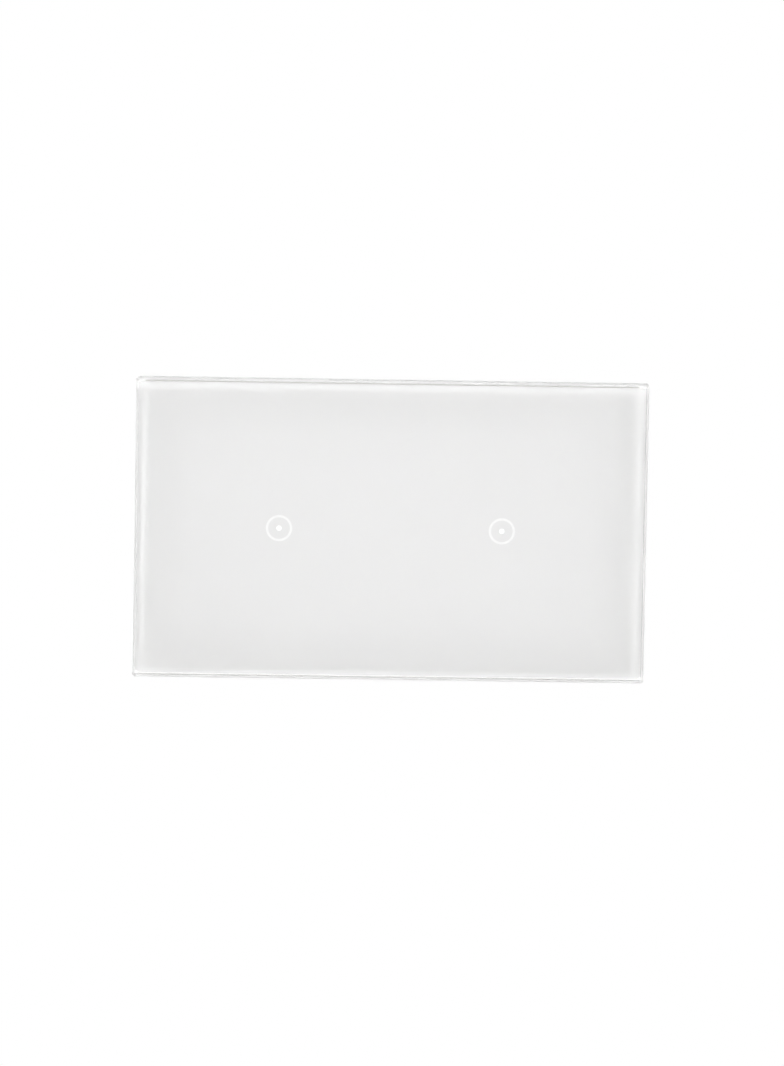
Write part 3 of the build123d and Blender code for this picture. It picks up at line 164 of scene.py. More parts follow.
# Each light's name, its place in metres, its width and height in metres, and its power in watts.
LIGHTS = (
    ("near_axis_softbox", (0.0, -1.6, 0.25), (1.6, 0.3), 1.3),
    ("top_softbox", (0.0, -1.0, 0.50), (2.4, 0.5), 9.1),
    ("left_softbox", (-0.5, -1.1, 0.0), (0.3, 0.9), 4.1),
    ("right_softbox", (0.5, -1.1, 0.0), (0.3, 0.9), 4.1),
    ("overhead_sheet", (0.0, 0.2, 1.5), (1.2, 0.8), 1.0),
    ("back_softbox", (-1.0, 2.4, 0.6), (1.2, 0.8), 14.0),
    ("low_back_sheet", (0.0, 3.0, -0.5), (3.0, 0.6), 3.5),
)
NOT_MIRRORED = ("left_softbox", "right_softbox")

world = bpy.data.worlds.new("white_studio")
bpy.context.scene.world = world
world.use_nodes = True
sky = world.node_tree
sky.nodes.clear()
seen_world = add(sky, "ShaderNodeBackground", {"Color": WHITE, "Strength": 1.0})
lit_world = add(sky, "ShaderNodeBackground", {"Color": WHITE, "Strength": WORLD_LIGHT})
both_worlds = add(sky, "ShaderNodeMixShader", {
    0: add(sky, "ShaderNodeLightPath").outputs["Is Camera Ray"],
    1: lit_world,
    2: seen_world,
})
add(sky, "ShaderNodeOutputWorld", {"Surface": both_worlds})

for light_name, place, size, watts in LIGHTS:
    light_data = bpy.data.lights.new(light_name, "AREA")
    light_data.shape = "RECTANGLE"
    light_data.size, light_data.size_y = size
    light_data.energy = watts
    light = bpy.data.objects.new(light_name, light_data)
    bpy.context.scene.collection.objects.link(light)
    aim = (-Vector(place)).to_track_quat("-Z", "Y").to_matrix().to_4x4()
    light.matrix_world = Matrix.Translation(place) @ aim
    light.visible_camera = False
    light.visible_glossy = light_name not in NOT_MIRRORED
print("studio:", len(LIGHTS), "lights")

# %% Floor
FLOOR_DROP = 1.2
FLOOR_RADIUS = 5.0
FLOOR_POINTS = 96

floor_mesh = bpy.data.meshes.new("pale_floor")
floor_rim = []
for point in range(FLOOR_POINTS):
    turn = math.tau * point / FLOOR_POINTS
    floor_rim.append((FLOOR_RADIUS * math.cos(turn), FLOOR_RADIUS * math.sin(turn), -FLOOR_DROP))
floor_mesh.from_pydata(floor_rim, [], [tuple(range(FLOOR_POINTS))])
floor = link_piece("pale_floor", floor_mesh)
print("floor:", FLOOR_RADIUS, "m in radius")

# %% Light paths and view
MOST_BOUNCES = 32
MOST_PAINT_BOUNCES = 16

view = bpy.context.scene.view_settings
view.view_transform = "Standard"
view.look = "None"
cycles = bpy.context.scene.cycles
cycles.max_bounces = MOST_BOUNCES
cycles.transmission_bounces = MOST_BOUNCES
cycles.diffuse_bounces = MOST_PAINT_BOUNCES
cycles.glossy_bounces = MOST_PAINT_BOUNCES
cycles.blur_glossy = 0.0
cycles.sample_clamp_indirect = 0.0
print("bounces:", MOST_BOUNCES)

# %% [markdown]
# ## Starting and ending a material
# Each material starts as an empty tree, reads its place on the piece from Object coordinates, and ends in
# one Principled shader. Object coordinates are metres on the piece, so a pattern keeps its real size and
# moves with the piece.
#
# Soft patches come back in most materials, for uneven colour and gloss. They are noise of a size in
# millimetres. Noise gathers round its middle and seldom leaves 0.3 to 0.7, so a Map Range node spreads that
# part over the values that are wanted.
#
# Most materials are two close colours mixed by a pattern, over a fine relief, so a second ending adds a Mix
# node for the colours and a Bump node for the relief. A Mix node set to colours takes its pattern at input 0
# and its colours at 6 and 7, and gives the mixed colour at output 2.

# %% Helpers for materials
NOISE_RANGE = {"From Min": 0.3, "From Max": 0.7}


def per_mm(size_mm):
    """The scale of a pattern whose features have this size."""
    return 1 / (size_mm * MM)


def new_material(name):
    """An empty node material, its tree, and the place on the piece in metres."""
    material = bpy.data.materials.new(name)
    material.use_nodes = True
    material.node_tree.nodes.clear()
    place = add(material.node_tree, "ShaderNodeTexCoord").outputs["Object"]
    return material, material.node_tree, place


def patches(tree, place, size_mm, low=0.0, high=1.0, detail=2.0):
    """Soft patches of a real size, as values spread from low to high."""
    noise = add(tree, "ShaderNodeTexNoise", {
        "Vector": place,
        "Scale": per_mm(size_mm),
        "Detail": detail,
    })
    return add(tree, "ShaderNodeMapRange", {"Value": noise, "To Min": low, "To Max": high, **NOISE_RANGE})


def close_material(material, tree, inputs):
    """End a material in one Principled shader with these inputs."""
    shader = add(tree, "ShaderNodeBsdfPrincipled", inputs)
    add(tree, "ShaderNodeOutputMaterial", {"Surface": shader})
    return material


def close_two_tone(material, tree, pattern, colours, inputs, height=None, depth_mm=0.0):
    """End a material in two colours mixed by a pattern, with a relief where a height is given."""
    tone = add(tree, "ShaderNodeMix", {
        0: pattern,
        6: to_linear(colours[0]),
        7: to_linear(colours[1]),
    }, data_type="RGBA")
    inputs = {"Base Color": tone.outputs[2], **inputs}
    if height is not None:
        inputs["Normal"] = add(tree, "ShaderNodeBump", {"Height": height, "Distance": depth_mm * MM})
    return close_material(material, tree, inputs)


print("noise is spread from", NOISE_RANGE["From Min"], "to", NOISE_RANGE["From Max"])

# %% Floor paint
FLOOR_PATCH_MM = 400.0

floor_finish, tree, place = new_material("pale_painted_floor")
tone = patches(tree, place, FLOOR_PATCH_MM)
close_two_tone(floor_finish, tree, tone, ("#D1D0CD", "#CDCCC9"), {"Roughness": 0.8})
floor_mesh.materials.append(floor_finish)
print("floor:", floor_finish.name)

# %% [markdown]
# ## Glass plate
# The plate is clear float glass, 4 mm thick, with ground arrises, the narrow slopes that take the sharpness
# off its edges, and a small cut on each corner. A box with a Bevel modifier would give it neither the cut
# corners nor faces of these exact widths. Light must refract at its front, run inside it and leave at its
# edges, so it is one closed mesh of real thickness. It is lofted from one outline, set in a little more at
# each level of the edge profile. The edges between the ground faces are rounded by a tenth of a millimetre,
# which is what catches a thin line of light.

# %% Glass plate
ARRIS = 0.7 * MM
CORNER_CUT = 0.6 * MM
EDGE_ROUND = 0.12 * MM
ROUND_STEPS = 3


def plate_outline(half_width, half_height, cut, inset):
    """Points of a rectangle with cut corners, set in evenly, as (x, z) pairs."""
    w, h = half_width - inset, half_height - inset
    c = cut - inset * (2 - math.sqrt(2))
    points = []
    for sx, sz, side_first in ((1, 1, True), (-1, 1, False), (-1, -1, True), (1, -1, False)):
        side, top = (sx * w, sz * (h - c)), (sx * (w - c), sz * h)
        points += [side, top] if side_first else [top, side]
    return points


def rounded_path(corners, radius, steps):
    """The corners of an open path, with each inner one rounded."""
    path = [corners[0]]
    for before, corner, after in zip(corners, corners[1:], corners[2:]):
        corner, before, after = Vector(corner), Vector(before), Vector(after)
        into, out = (before - corner).normalized(), (after - corner).normalized()
        reach_back = radius / math.tan(into.angle(out) / 2)
        start, end = corner + into * reach_back, corner + out * reach_back
        for step in range(steps + 1):
            t = step / steps
            path.append(tuple(start * (1 - t) ** 2 + corner * 2 * t * (1 - t) + end * t ** 2))
    path.append(corners[-1])
    return path


def loft(name, loops):
    """A closed mesh through equal loops of points, capped at both ends."""
    shape = bmesh.new()
    rows = [[shape.verts.new(point) for point in loop] for loop in loops]
    count = len(rows[0])
    for low, high in zip(rows, rows[1:]):
        for i in range(count):
            shape.faces.new((low[i], low[(i + 1) % count], high[(i + 1) % count], high[i]))
    shape.faces.new(rows[0][::-1])
    shape.faces.new(rows[-1])
    bmesh.ops.recalc_face_normals(shape, faces=shape.faces)
    mesh = bpy.data.meshes.new(name)
    shape.to_mesh(mesh)
    shape.free()
    return link_piece(name, mesh)


half_width = (glass_high.x - glass_low.x) / 2
half_height = (glass_high.z - glass_low.z) / 2
front_y, back_y = glass_low.y, glass_high.y
edge_corners = [
    (ARRIS + EDGE_ROUND, front_y),
    (ARRIS, front_y),
    (0.0, front_y + ARRIS),
    (0.0, back_y - ARRIS),
    (ARRIS, back_y),
    (ARRIS + EDGE_ROUND, back_y),
]
edge_profile = rounded_path(edge_corners, EDGE_ROUND, ROUND_STEPS)
glass_loops = []
for inset, y in edge_profile:
    outline = plate_outline(half_width, half_height, CORNER_CUT, inset)
    glass_loops.append([(x, y, z) for x, z in outline])
glass = loft("float_glass_plate", glass_loops)
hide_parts("glass_panel")
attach(glass, "front_panel")
print("glass:", len(glass.data.vertices), "vertices")

# %% [markdown]
# ### Float glass
# Soda lime glass has an index of refraction of 1.52. The two large faces are fire polished by the float
# bath, so they are perfectly smooth. The edge and its arrises are ground on a fine belt, which leaves them
# satin: they get a roughness that changes from place to place along the edge. One material does both, by
# measuring how far a point lies inside the outline. The change comes at the width of the arris.

# %% Float glass
GLASS_IOR = 1.52
EDGE_PATCH_MM = 2.5
EDGE_ROUGHNESS = (0.35, 0.50)
EDGE_CORNER_MM = 0.01
GROUND_TO = 0.6 * ARRIS
CLEAR_FROM = 1.4 * ARRIS


def distance_to_edge(tree, place, round_mm):
    """How far a point lies inside the outline of the glass, in metres, with the corners rounded off."""
    parts = add(tree, "ShaderNodeSeparateXYZ", {0: place}).outputs
    inside = []
    for part, half in ((parts[0], half_width), (parts[2], half_height)):
        size = add(tree, "ShaderNodeMath", {0: part}, operation="ABSOLUTE")
        inside.append(add(tree, "ShaderNodeMath", {0: half, 1: size}, operation="SUBTRACT"))
    return add(tree, "ShaderNodeMath", {
        0: inside[0],
        1: inside[1],
        2: round_mm * MM,
    }, operation="SMOOTH_MIN")


clear_glass, tree, place = new_material("clear_float_glass_ground_edges")
on_edge = add(tree, "ShaderNodeMapRange", {
    "Value": distance_to_edge(tree, place, EDGE_CORNER_MM),
    "From Min": GROUND_TO,
    "From Max": CLEAR_FROM,
    "To Min": 1.0,
    "To Max": 0.0,
})
belt_marks = patches(tree, place, EDGE_PATCH_MM, *EDGE_ROUGHNESS)
edge_roughness = add(tree, "ShaderNodeMath", {0: belt_marks, 1: on_edge}, operation="MULTIPLY")
close_material(clear_glass, tree, {
    "Base Color": WHITE,
    "Roughness": edge_roughness,
    "IOR": GLASS_IOR,
    "Transmission Weight": 1.0,
})
glass.data.materials.append(clear_glass)
print("float glass: IOR", GLASS_IOR)

# %% [markdown]
# ## Enamel coat
# The white is a coat of enamel on the back of the glass, with openings for the marks. Paint wets the glass,
# so no air is between them: the coat's front is pushed a fiftieth of a millimetre into the glass, and light
# then passes from glass to paint directly. The shape itself is the frame's own, copied and merged.
#
# A screen print never lies quite square on its plate. The width of the clear line between the coat and the
# edge differs from side to side in the photograph, so each side of the coat's rim is moved by its own few
# tenths of a millimetre. Each is keyed by its axis, 0 for X and 2 for Z, and by whether it is the side of
# larger coordinates.

# %% Enamel coat
ENAMEL_GRIP = 0.02 * MM
MERGE_DISTANCE = 0.001 * MM
RIM_MOVES_MM = {(0, False): -0.35, (0, True): 0.37, (2, False): -0.15, (2, True): -0.25}


def merged_copy(node_name, piece_name):
    """A node's mesh as a new piece, with its loose triangles joined."""
    shape = bmesh.new()
    shape.from_mesh(nodes[node_name].data)
    bmesh.ops.remove_doubles(shape, verts=shape.verts, dist=MERGE_DISTANCE)
    mesh = bpy.data.meshes.new(piece_name)
    shape.to_mesh(mesh)
    shape.free()
    return link_piece(piece_name, mesh)


enamel_low, enamel_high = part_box("enamel_coat")
enamel = merged_copy("enamel_coat", "back_enamel")
for vertex in enamel.data.vertices:
    if vertex.co.y < enamel_low.y + ENAMEL_GRIP:
        vertex.co.y -= ENAMEL_GRIP
    for axis in (0, 2):
        if abs(vertex.co[axis]) > enamel_high[axis] - MERGE_DISTANCE:
            vertex.co[axis] += RIM_MOVES_MM[axis, vertex.co[axis] > 0] * MM
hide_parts("enamel_coat")
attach(enamel, "front_panel")
print("enamel:", len(enamel.data.vertices), "vertices")

# %% [markdown]
# ### White enamel
# A white ceramic ink, screen printed and fired. Seen through glass it has no gloss of its own, only its
# diffuse white, a neutral one that sends back about eight tenths of the light. Towards the edge of the
# plate its colour is painted a little darker, within 16 mm of the edge: painted shade, for the light that
# glass over white paint loses at its edges. A very slight cloud keeps it from being one flat value.

# %% White enamel
PAINTED_SHADE_START_MM = 1.0
PAINTED_SHADE_WIDTH_MM = 16.0
PAINTED_SHADE_ROUND_MM = 10.0
ENAMEL_PATCH_MM = 12.0
ENAMEL_UNEVEN = 0.12

white_enamel, tree, place = new_material("white_fired_enamel")
# Painted shade: the colour darkens from 16 mm inside the edge of the plate to 1 mm inside it.
inner = add(tree, "ShaderNodeMapRange", {
    "Value": distance_to_edge(tree, place, PAINTED_SHADE_ROUND_MM),
    "From Min": PAINTED_SHADE_START_MM * MM,
    "From Max": PAINTED_SHADE_WIDTH_MM * MM,
})
uneven = patches(tree, place, ENAMEL_PATCH_MM, 0.0, ENAMEL_UNEVEN)
# This value is the enamel's tone, not the coat's thickness: painted shade towards the edge, with a slight
# random cloud taken off.
thickness = add(tree, "ShaderNodeMath", {0: inner, 1: uneven}, operation="SUBTRACT")
close_two_tone(white_enamel, tree, thickness, ("#E2E2E2", "#E7E7E7"), {
    "Roughness": 1.0,
    "Specular IOR Level": 0.0,
})
enamel.data.materials.append(white_enamel)
print("enamel margin:", PAINTED_SHADE_WIDTH_MM, "mm")

# %% [markdown]
# ## Geometry Nodes
# What repeats on this object, its marks, its terminal numbers and its ribs, is made by Geometry Nodes. The
# same could be done with loops over mesh code, but a tree keeps each size as a named input that can be
# changed afterwards. A modifier runs the tree, and its inputs are set by the socket's identifier, because
# names needn't be unique. Each tree ends in real geometry with its material, and the result is kept as a
# plain mesh.
#
# Shading needs two steps. Edges sharper than 30 degrees are marked first. Then every face that looks
# straight along an axis is kept flat, because smooth shading would bend the light on a flat face beside a
# thin round one, and all other faces are smooth.

# %% Helpers for Geometry Nodes
SHARP_ANGLE = math.radians(30)
# A face looks straight along an axis if the largest part of its normal is above this.
SQUARE = 0.9999


def new_tree(name, sizes, takes_mesh=False):
    """An empty Geometry Nodes tree with a named input for each size, and its input node's outputs."""
    tree = bpy.data.node_groups.new(name, "GeometryNodeTree")
    if takes_mesh:
        tree.interface.new_socket("Geometry", in_out="INPUT", socket_type="NodeSocketGeometry")
    for size in sizes:
        kind = "NodeSocketInt" if size.endswith("Count") else "NodeSocketFloat"
        tree.interface.new_socket(size, in_out="INPUT", socket_type=kind)
    tree.interface.new_socket("Geometry", in_out="OUTPUT", socket_type="NodeSocketGeometry")
    return tree, add(tree, "NodeGroupInput").outputs


def close_tree(tree, geometry, material):
    """End a tree in real geometry with its material."""
    real = add(tree, "GeometryNodeRealizeInstances", {0: geometry})
    coated = add(tree, "GeometryNodeSetMaterial", {"Geometry": real, "Material": material})
    add(tree, "NodeGroupOutput", {0: coated})


def grow(name, tree, sizes, body, start=None):
    """Run a tree with its sizes, and keep the result as a plain mesh that rides on a body."""
    holder = start or link_piece(name + "_tree", bpy.data.meshes.new(name + "_tree"))
    modifier = holder.modifiers.new("tree", "NODES")
    modifier.node_group = tree
    for item in tree.interface.items_tree:
        if item.in_out == "INPUT" and item.name in sizes:
            modifier[item.identifier] = sizes[item.name]
    evaluated = holder.evaluated_get(bpy.context.evaluated_depsgraph_get())
    mesh = bpy.data.meshes.new_from_object(evaluated)
    mesh.name = name
    bpy.data.objects.remove(holder)
    mesh.set_sharp_from_angle(angle=SHARP_ANGLE)
    for face in mesh.polygons:
        face.use_smooth = max(abs(part) for part in face.normal) < SQUARE
    piece = link_piece(name, mesh)
    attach(piece, body)
    print(name + ":", len(mesh.polygons), "faces")
    return piece


def in_a_line(tree, geometry, count, step, start):
    """Copies of the geometry, from the start on, a step apart."""
    line = add(tree, "GeometryNodeMeshLine", {"Count": count, "Start Location": start, "Offset": step})
    return add(tree, "GeometryNodeInstanceOnPoints", {"Points": line, "Instance": geometry})


print("edges sharper than", round(math.degrees(SHARP_ANGLE)), "degrees stay sharp")

# %% [markdown]
# ## Marks with a painted glow
# Each mark is a ring with a dot in it, printed in a translucent white where the enamel is left open. The
# light of a small lamp behind the board is painted on the ink as a glow. Both marks are alike, so one tree
# makes a ring, another a dot, and each sets its print at both places. A print has a stem that fills the
# opening in the enamel, and a wider lap behind it, as a printed layer has. The stem reaches a little further
# into the glass than the enamel does, so it is what shows in the opening. The ink comes first, because the
# trees end with their material.
#
# ### Translucent print
# A thin white ink. It sends back a little more light than the enamel does, and has a painted glow as its
# own emission: the ring is a broad soft glow, and the dot, painted as if right in front of the lamp, is the
# brightest point. The painted glow is a little uneven, as light through a printed layer is.

# %% Translucent print
# The strength of the glow painted on each print as emission, in place of the light of the lamp behind the
# board.
RING_PAINTED_GLOW = 0.06
DOT_PAINTED_GLOW = 0.25
INK_PATCH_MM = 1.2


def lit_print(name, glow):
    """The translucent ink with a painted glow of this strength."""
    material, tree, place = new_material(name)
    uneven = patches(tree, place, INK_PATCH_MM)
    glow_tone = add(tree, "ShaderNodeMix", {
        0: uneven,
        6: to_linear("#FFFFFF"),
        7: to_linear("#F2F6FA"),
    }, data_type="RGBA")
    return close_two_tone(material, tree, uneven, ("#EFEFEF", "#EBEBEB"), {
        "Roughness": 1.0,
        "Specular IOR Level": 0.0,
        "Emission Color": glow_tone.outputs[2],
        "Emission Strength": glow,
    })


ring_ink = lit_print("ring_ink_with_painted_glow", RING_PAINTED_GLOW)
dot_ink = lit_print("dot_ink_with_painted_glow", DOT_PAINTED_GLOW)
print("glow of ring and dot:", RING_PAINTED_GLOW, DOT_PAINTED_GLOW)

# %% Sizes of the marks
FACING_FRONT = (math.radians(90), 0.0, 0.0)
PRINT_GRIP = 0.03 * MM
PRINT_LAP = 0.4 * MM
# The ring is 7.5 mm across outside. Its radius is taken to the middle of its line.
RING_RADIUS = 3.425 * MM
RING_LINE = 0.65 * MM
DOT_RADIUS = 0.75 * MM
RING_SEGMENTS = 96
DOT_SEGMENTS = 48

ring_low, ring_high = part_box("ring_marks")
right_dot_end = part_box("dot_marks")[1].x
mark_spacing = 2 * (right_dot_end - DOT_RADIUS - PRINT_LAP)
stem_front = enamel_low.y - PRINT_GRIP
mark_sizes = {
    "Spacing": mark_spacing,
    "Stem Middle": (stem_front + ring_low.y) / 2,
    "Stem Depth": ring_low.y - stem_front,
    "Lap Middle": (ring_low.y + ring_high.y) / 2,
    "Lap Depth": ring_high.y - ring_low.y,
    "Lap": PRINT_LAP,
}
print("marks", round(mark_spacing / MM, 2), "mm apart")


# %% Rings and dots
def facing_front(tree, geometry, y):
    """Turn flat work from the XY plane to face the front, at a depth."""
    spot = add(tree, "ShaderNodeCombineXYZ", {1: y})
    return add(tree, "GeometryNodeTransform", {
        "Geometry": geometry,
        "Translation": spot,
        "Rotation": FACING_FRONT,
    }).outputs[0]


def at_both_marks(tree, geometry, spacing):
    """A copy of the geometry at each of the two marks."""
    first = add(tree, "ShaderNodeMath", {0: spacing, 1: -0.5}, operation="MULTIPLY")
    start = add(tree, "ShaderNodeCombineXYZ", {0: first})
    step = add(tree, "ShaderNodeCombineXYZ", {0: spacing})
    return in_a_line(tree, geometry, 2, step, start)


def ring_tree():
    """A ring of rectangular section, with a wider ring behind it, at both marks."""
    tree, size = new_tree("printed_ring", list(mark_sizes) + ["Radius", "Line"])
    circle = add(tree, "GeometryNodeCurvePrimitiveCircle", {
        "Resolution": RING_SEGMENTS,
        "Radius": size["Radius"],
    })
    two_laps = add(tree, "ShaderNodeMath", {0: size["Lap"], 1: 2.0}, operation="MULTIPLY")
    wide = add(tree, "ShaderNodeMath", {0: size["Line"], 1: two_laps}, operation="ADD")
    layers = add(tree, "GeometryNodeJoinGeometry")
    for width, depth, middle in (
        (size["Line"], size["Stem Depth"], size["Stem Middle"]),
        (wide, size["Lap Depth"], size["Lap Middle"]),
    ):
        section = add(tree, "GeometryNodeCurvePrimitiveQuadrilateral", {"Width": width, "Height": depth})
        band = add(tree, "GeometryNodeCurveToMesh", {0: circle, 1: section})
        tree.links.new(facing_front(tree, band, middle), layers.inputs[0])
    close_tree(tree, at_both_marks(tree, layers, size["Spacing"]), ring_ink)
    return tree


def dot_tree():
    """A disc with a wider one behind it, at both marks."""
    tree, size = new_tree("printed_dot", list(mark_sizes) + ["Radius"])
    wide = add(tree, "ShaderNodeMath", {0: size["Radius"], 1: size["Lap"]}, operation="ADD")
    layers = add(tree, "GeometryNodeJoinGeometry")
    for radius, depth, middle in (
        (size["Radius"], size["Stem Depth"], size["Stem Middle"]),
        (wide, size["Lap Depth"], size["Lap Middle"]),
    ):
        disc = add(tree, "GeometryNodeMeshCylinder", {
            "Vertices": DOT_SEGMENTS,
            "Radius": radius,
            "Depth": depth,
        })
        tree.links.new(facing_front(tree, disc, middle), layers.inputs[0])
    close_tree(tree, at_both_marks(tree, layers, size["Spacing"]), dot_ink)
    return tree


ring_sizes = dict(mark_sizes, Radius=RING_RADIUS, Line=RING_LINE)
dot_sizes = dict(mark_sizes, Radius=DOT_RADIUS)
rings = grow("ring_prints", ring_tree(), ring_sizes, "front_panel")
dots = grow("dot_prints", dot_tree(), dot_sizes, "front_panel")
for piece, node_name in ((rings, "ring_marks"), (dots, "dot_marks")):
    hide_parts(node_name)

# %% [markdown]
# ## Moulded plastics
# Most of the parts behind the glass are injection moulded. A moulded plastic takes the fine spark-eroded
# grain of its tool, 0.1 to 0.5 mm across and at most about a hundredth of a millimetre deep, and its colour
# and gloss drift slowly where the melt flowed and cooled. One function makes them all, from the colour, the
# gloss and the grain. A dipped coat has a wider and softer grain.

# %% Moulded plastics
FLOW_MM = 22.0
GLOSS_PATCH_MM = 5.5
GLOSS_DRIFT = 0.05


def moulded(name, colour, flow_colour, roughness, grain_mm, depth_mm, ior):
    """A moulded plastic with the grain of its tool and a slow drift of colour and gloss."""
    material, tree, place = new_material(name)
    flow = patches(tree, place, FLOW_MM, detail=3.0)
    gloss = patches(tree, place, GLOSS_PATCH_MM, roughness - GLOSS_DRIFT, roughness + GLOSS_DRIFT)
    grain = add(tree, "ShaderNodeTexNoise", {"Vector": place, "Scale": per_mm(grain_mm)})
    return close_two_tone(material, tree, flow, (colour, flow_colour), {
        "Roughness": gloss,
        "IOR": ior,
    }, grain, depth_mm)


# After the name come the two colours, the roughness, the grain and its depth in mm, and the IOR.
finishes = {
    # An ABS moulding, spark grained: an even white with a soft sheen.
    "white_abs": moulded("white_abs_spark_grained", "#EEEDEA", "#EBEAE7", 0.45, 0.35, 0.010, 1.53),
    # Unfilled nylon, cream and slightly see-through to the eye.
    "nylon": moulded("natural_nylon_moulded", "#E9E4D4", "#DFD9C6", 0.38, 0.30, 0.006, 1.53),
    # Flame retardant polycarbonate: harder, a little glossier and greyer than the ABS.
    "polycarbonate_box": moulded(
        "polycarbonate_fine_grained", "#E2E2DF", "#DEDEDB", 0.42, 0.45, 0.012, 1.585,
    ),
    # Glass filled nylon of the terminal block, dark grey with a dry surface.
    "terminal_nylon": moulded("glass_filled_nylon_grey", "#5A5D60", "#505356", 0.50, 0.30, 0.010, 1.53),
    # The header's and socket's nylon, black and slightly shiny.
    "black_nylon": moulded("black_nylon_header", "#26262A", "#1E1E21", 0.42, 0.20, 0.004, 1.53),
    # The relays' cases and bases: a blue polyester and its black base.
    "relay_case": moulded("blue_polyester_case", "#2F5FA8", "#29559A", 0.36, 0.25, 0.005, 1.57),
    "relay_base": moulded("black_polyester_base", "#2C2D2F", "#242527", 0.48, 0.25, 0.006, 1.57),
    # Transfer moulded epoxy round a chip: near black and dull.
    "black_epoxy": moulded("black_epoxy_package", "#2A2A2C", "#222224", 0.55, 0.12, 0.004, 1.55),
    # The capacitor's box, the fuse's case and the varistor's dipped coat.
    "film_capacitor_case": moulded("yellow_polyester_box", "#DDBA3E", "#D3AF34", 0.35, 0.25, 0.004, 1.57),
    "fuse_case": moulded("brown_phenolic_case", "#5C3A2C", "#503125", 0.40, 0.25, 0.004, 1.6),
    "varistor_coat": moulded("blue_dipped_epoxy", "#3B74AD", "#33689E", 0.25, 1.20, 0.020, 1.55),
    # The lamp's package: milky with a yellow tint from the phosphor.
    "led_package": moulded("milky_lamp_package", "#F6F1D2", "#EFE8C0", 0.25, 0.15, 0.002, 1.53),
}
print("plastics:", len(finishes))

# %% [markdown]
# ## Metals
# Each metal keeps the default IOR and is told apart by its colour, its roughness and its grain. Zinc plate
# from a barrel is bluish and fairly bright, tin plate is whiter, annealed iron is dull, and brass and gold
# are coloured all through. A drawn or rolled metal has fine lines along its length, so its noise is
# stretched along one axis.

# %% Metals
EVEN_GRAIN = (1.0, 1.0, 1.0)
ROLLED_STRETCH = 14.0
ALONG_X = (1 / ROLLED_STRETCH, 1.0, 1.0)
ALONG_Y = (1.0, 1 / ROLLED_STRETCH, 1.0)
ALONG_Z = (1.0, 1.0, 1 / ROLLED_STRETCH)
METAL_PATCH_MM = 3.0
SMOOTHER = 0.07
ROUGHER = 0.09


def metallic(name, colour, shade, roughness, grain_mm, depth_mm, stretch=EVEN_GRAIN):
    """A metal surface: colour drifts in soft patches, and gloss follows a grain that may be stretched."""
    material, tree, place = new_material(name)
    drift = patches(tree, place, METAL_PATCH_MM, detail=3.0)
    lined = add(tree, "ShaderNodeMapping", {"Vector": place, "Scale": stretch}, vector_type="POINT")
    grain = add(tree, "ShaderNodeTexNoise", {"Vector": lined, "Scale": per_mm(grain_mm)})
    gloss = add(tree, "ShaderNodeMapRange", {
        "Value": grain,
        "To Min": roughness - SMOOTHER,
        "To Max": roughness + ROUGHER,
        **NOISE_RANGE,
    })
    return close_two_tone(material, tree, drift, (colour, shade), {
        "Metallic": 1.0,
        "Roughness": gloss,
    }, grain, depth_mm)


# After the name come the two colours, the roughness, the grain and its depth in mm, and its direction.
finishes.update({
    # Zinc from a barrel bath, passivated blue.
    "zinc_screw": metallic("zinc_plated_screw", "#CDD2D8", "#BBC1C9", 0.28, 0.12, 0.002),
    # Soft bare aluminium, upset by the riveting tool.
    "aluminium_rivet": metallic("bare_aluminium_rivet", "#DADBDC", "#CBCCCE", 0.35, 0.15, 0.002),
    # Tin over drawn brass, the brightest of them.
    "tinned_pin": metallic("bright_tin_plate", "#DFDEDA", "#CFCECA", 0.22, 0.15, 0.001, ALONG_Y),
    # Soft iron, annealed and then nickelled: dull, with a trace of yellow.
    "relay_iron": metallic("annealed_nickelled_iron", "#B9B6AE", "#A9A69E", 0.38, 0.12, 0.002, ALONG_Z),
    # Rolled brass strip, stamped.
    "contact_brass": metallic("stamped_brass", "#D9B567", "#C9A456", 0.30, 0.12, 0.002, ALONG_X),
    # A thin gold flash over copper.
    "gilt_copper": metallic("gold_plated_copper", "#E6C376", "#DBB567", 0.26, 0.20, 0.001),
})
print("plastics and metals:", len(finishes))

# %% [markdown]
# ### Galvanised sheet
# The wall plate is hot dipped. Zinc freezes on the steel in flat crystals a few millimetres across, and each
# crystal sends the light another way. Voronoi cells are that spangle: each cell takes its own grey and
# its own roughness from the cell's random colour. A fine noise stands for the feathers in each crystal.

# %% Galvanised sheet
SPANGLE_MM = 3.0
SPANGLE_ROUGHNESS = (0.34, 0.46)
FEATHER_MM = 0.5
FEATHER_DEPTH_MM = 0.004

galvanised, tree, place = new_material("hot_dipped_galvanised_sheet")
crystals = add(tree, "ShaderNodeTexVoronoi", {"Vector": place, "Scale": per_mm(SPANGLE_MM)})
crystal_value = add(tree, "ShaderNodeSeparateColor", {0: crystals.outputs["Color"]}).outputs
crystal_gloss = add(tree, "ShaderNodeMapRange", {
    "Value": crystal_value[1],
    "To Min": SPANGLE_ROUGHNESS[0],
    "To Max": SPANGLE_ROUGHNESS[1],
})
feathers = add(tree, "ShaderNodeTexNoise", {"Vector": place, "Scale": per_mm(FEATHER_MM), "Detail": 4.0})
finishes["galvanised_steel"] = close_two_tone(galvanised, tree, crystal_value[0], ("#C0C3C7", "#B2B6BB"), {
    "Metallic": 1.0,
    "Roughness": crystal_gloss,
}, feathers, FEATHER_DEPTH_MM)
print("spangle:", SPANGLE_MM, "mm")

# %% [markdown]
# ### Circuit boards
# A board is glass cloth in epoxy under a solder mask. The cloth shows as a faint weave at half a
# millimetre, and the copper under the mask as lighter tracks and areas with square outlines. Cells that
# measure distance along the axes have such outlines. The weave is two waves across each other. Blender's
# wave runs through 20 radians in one unit at scale 1, so its scale is worked out from the width of one wave.

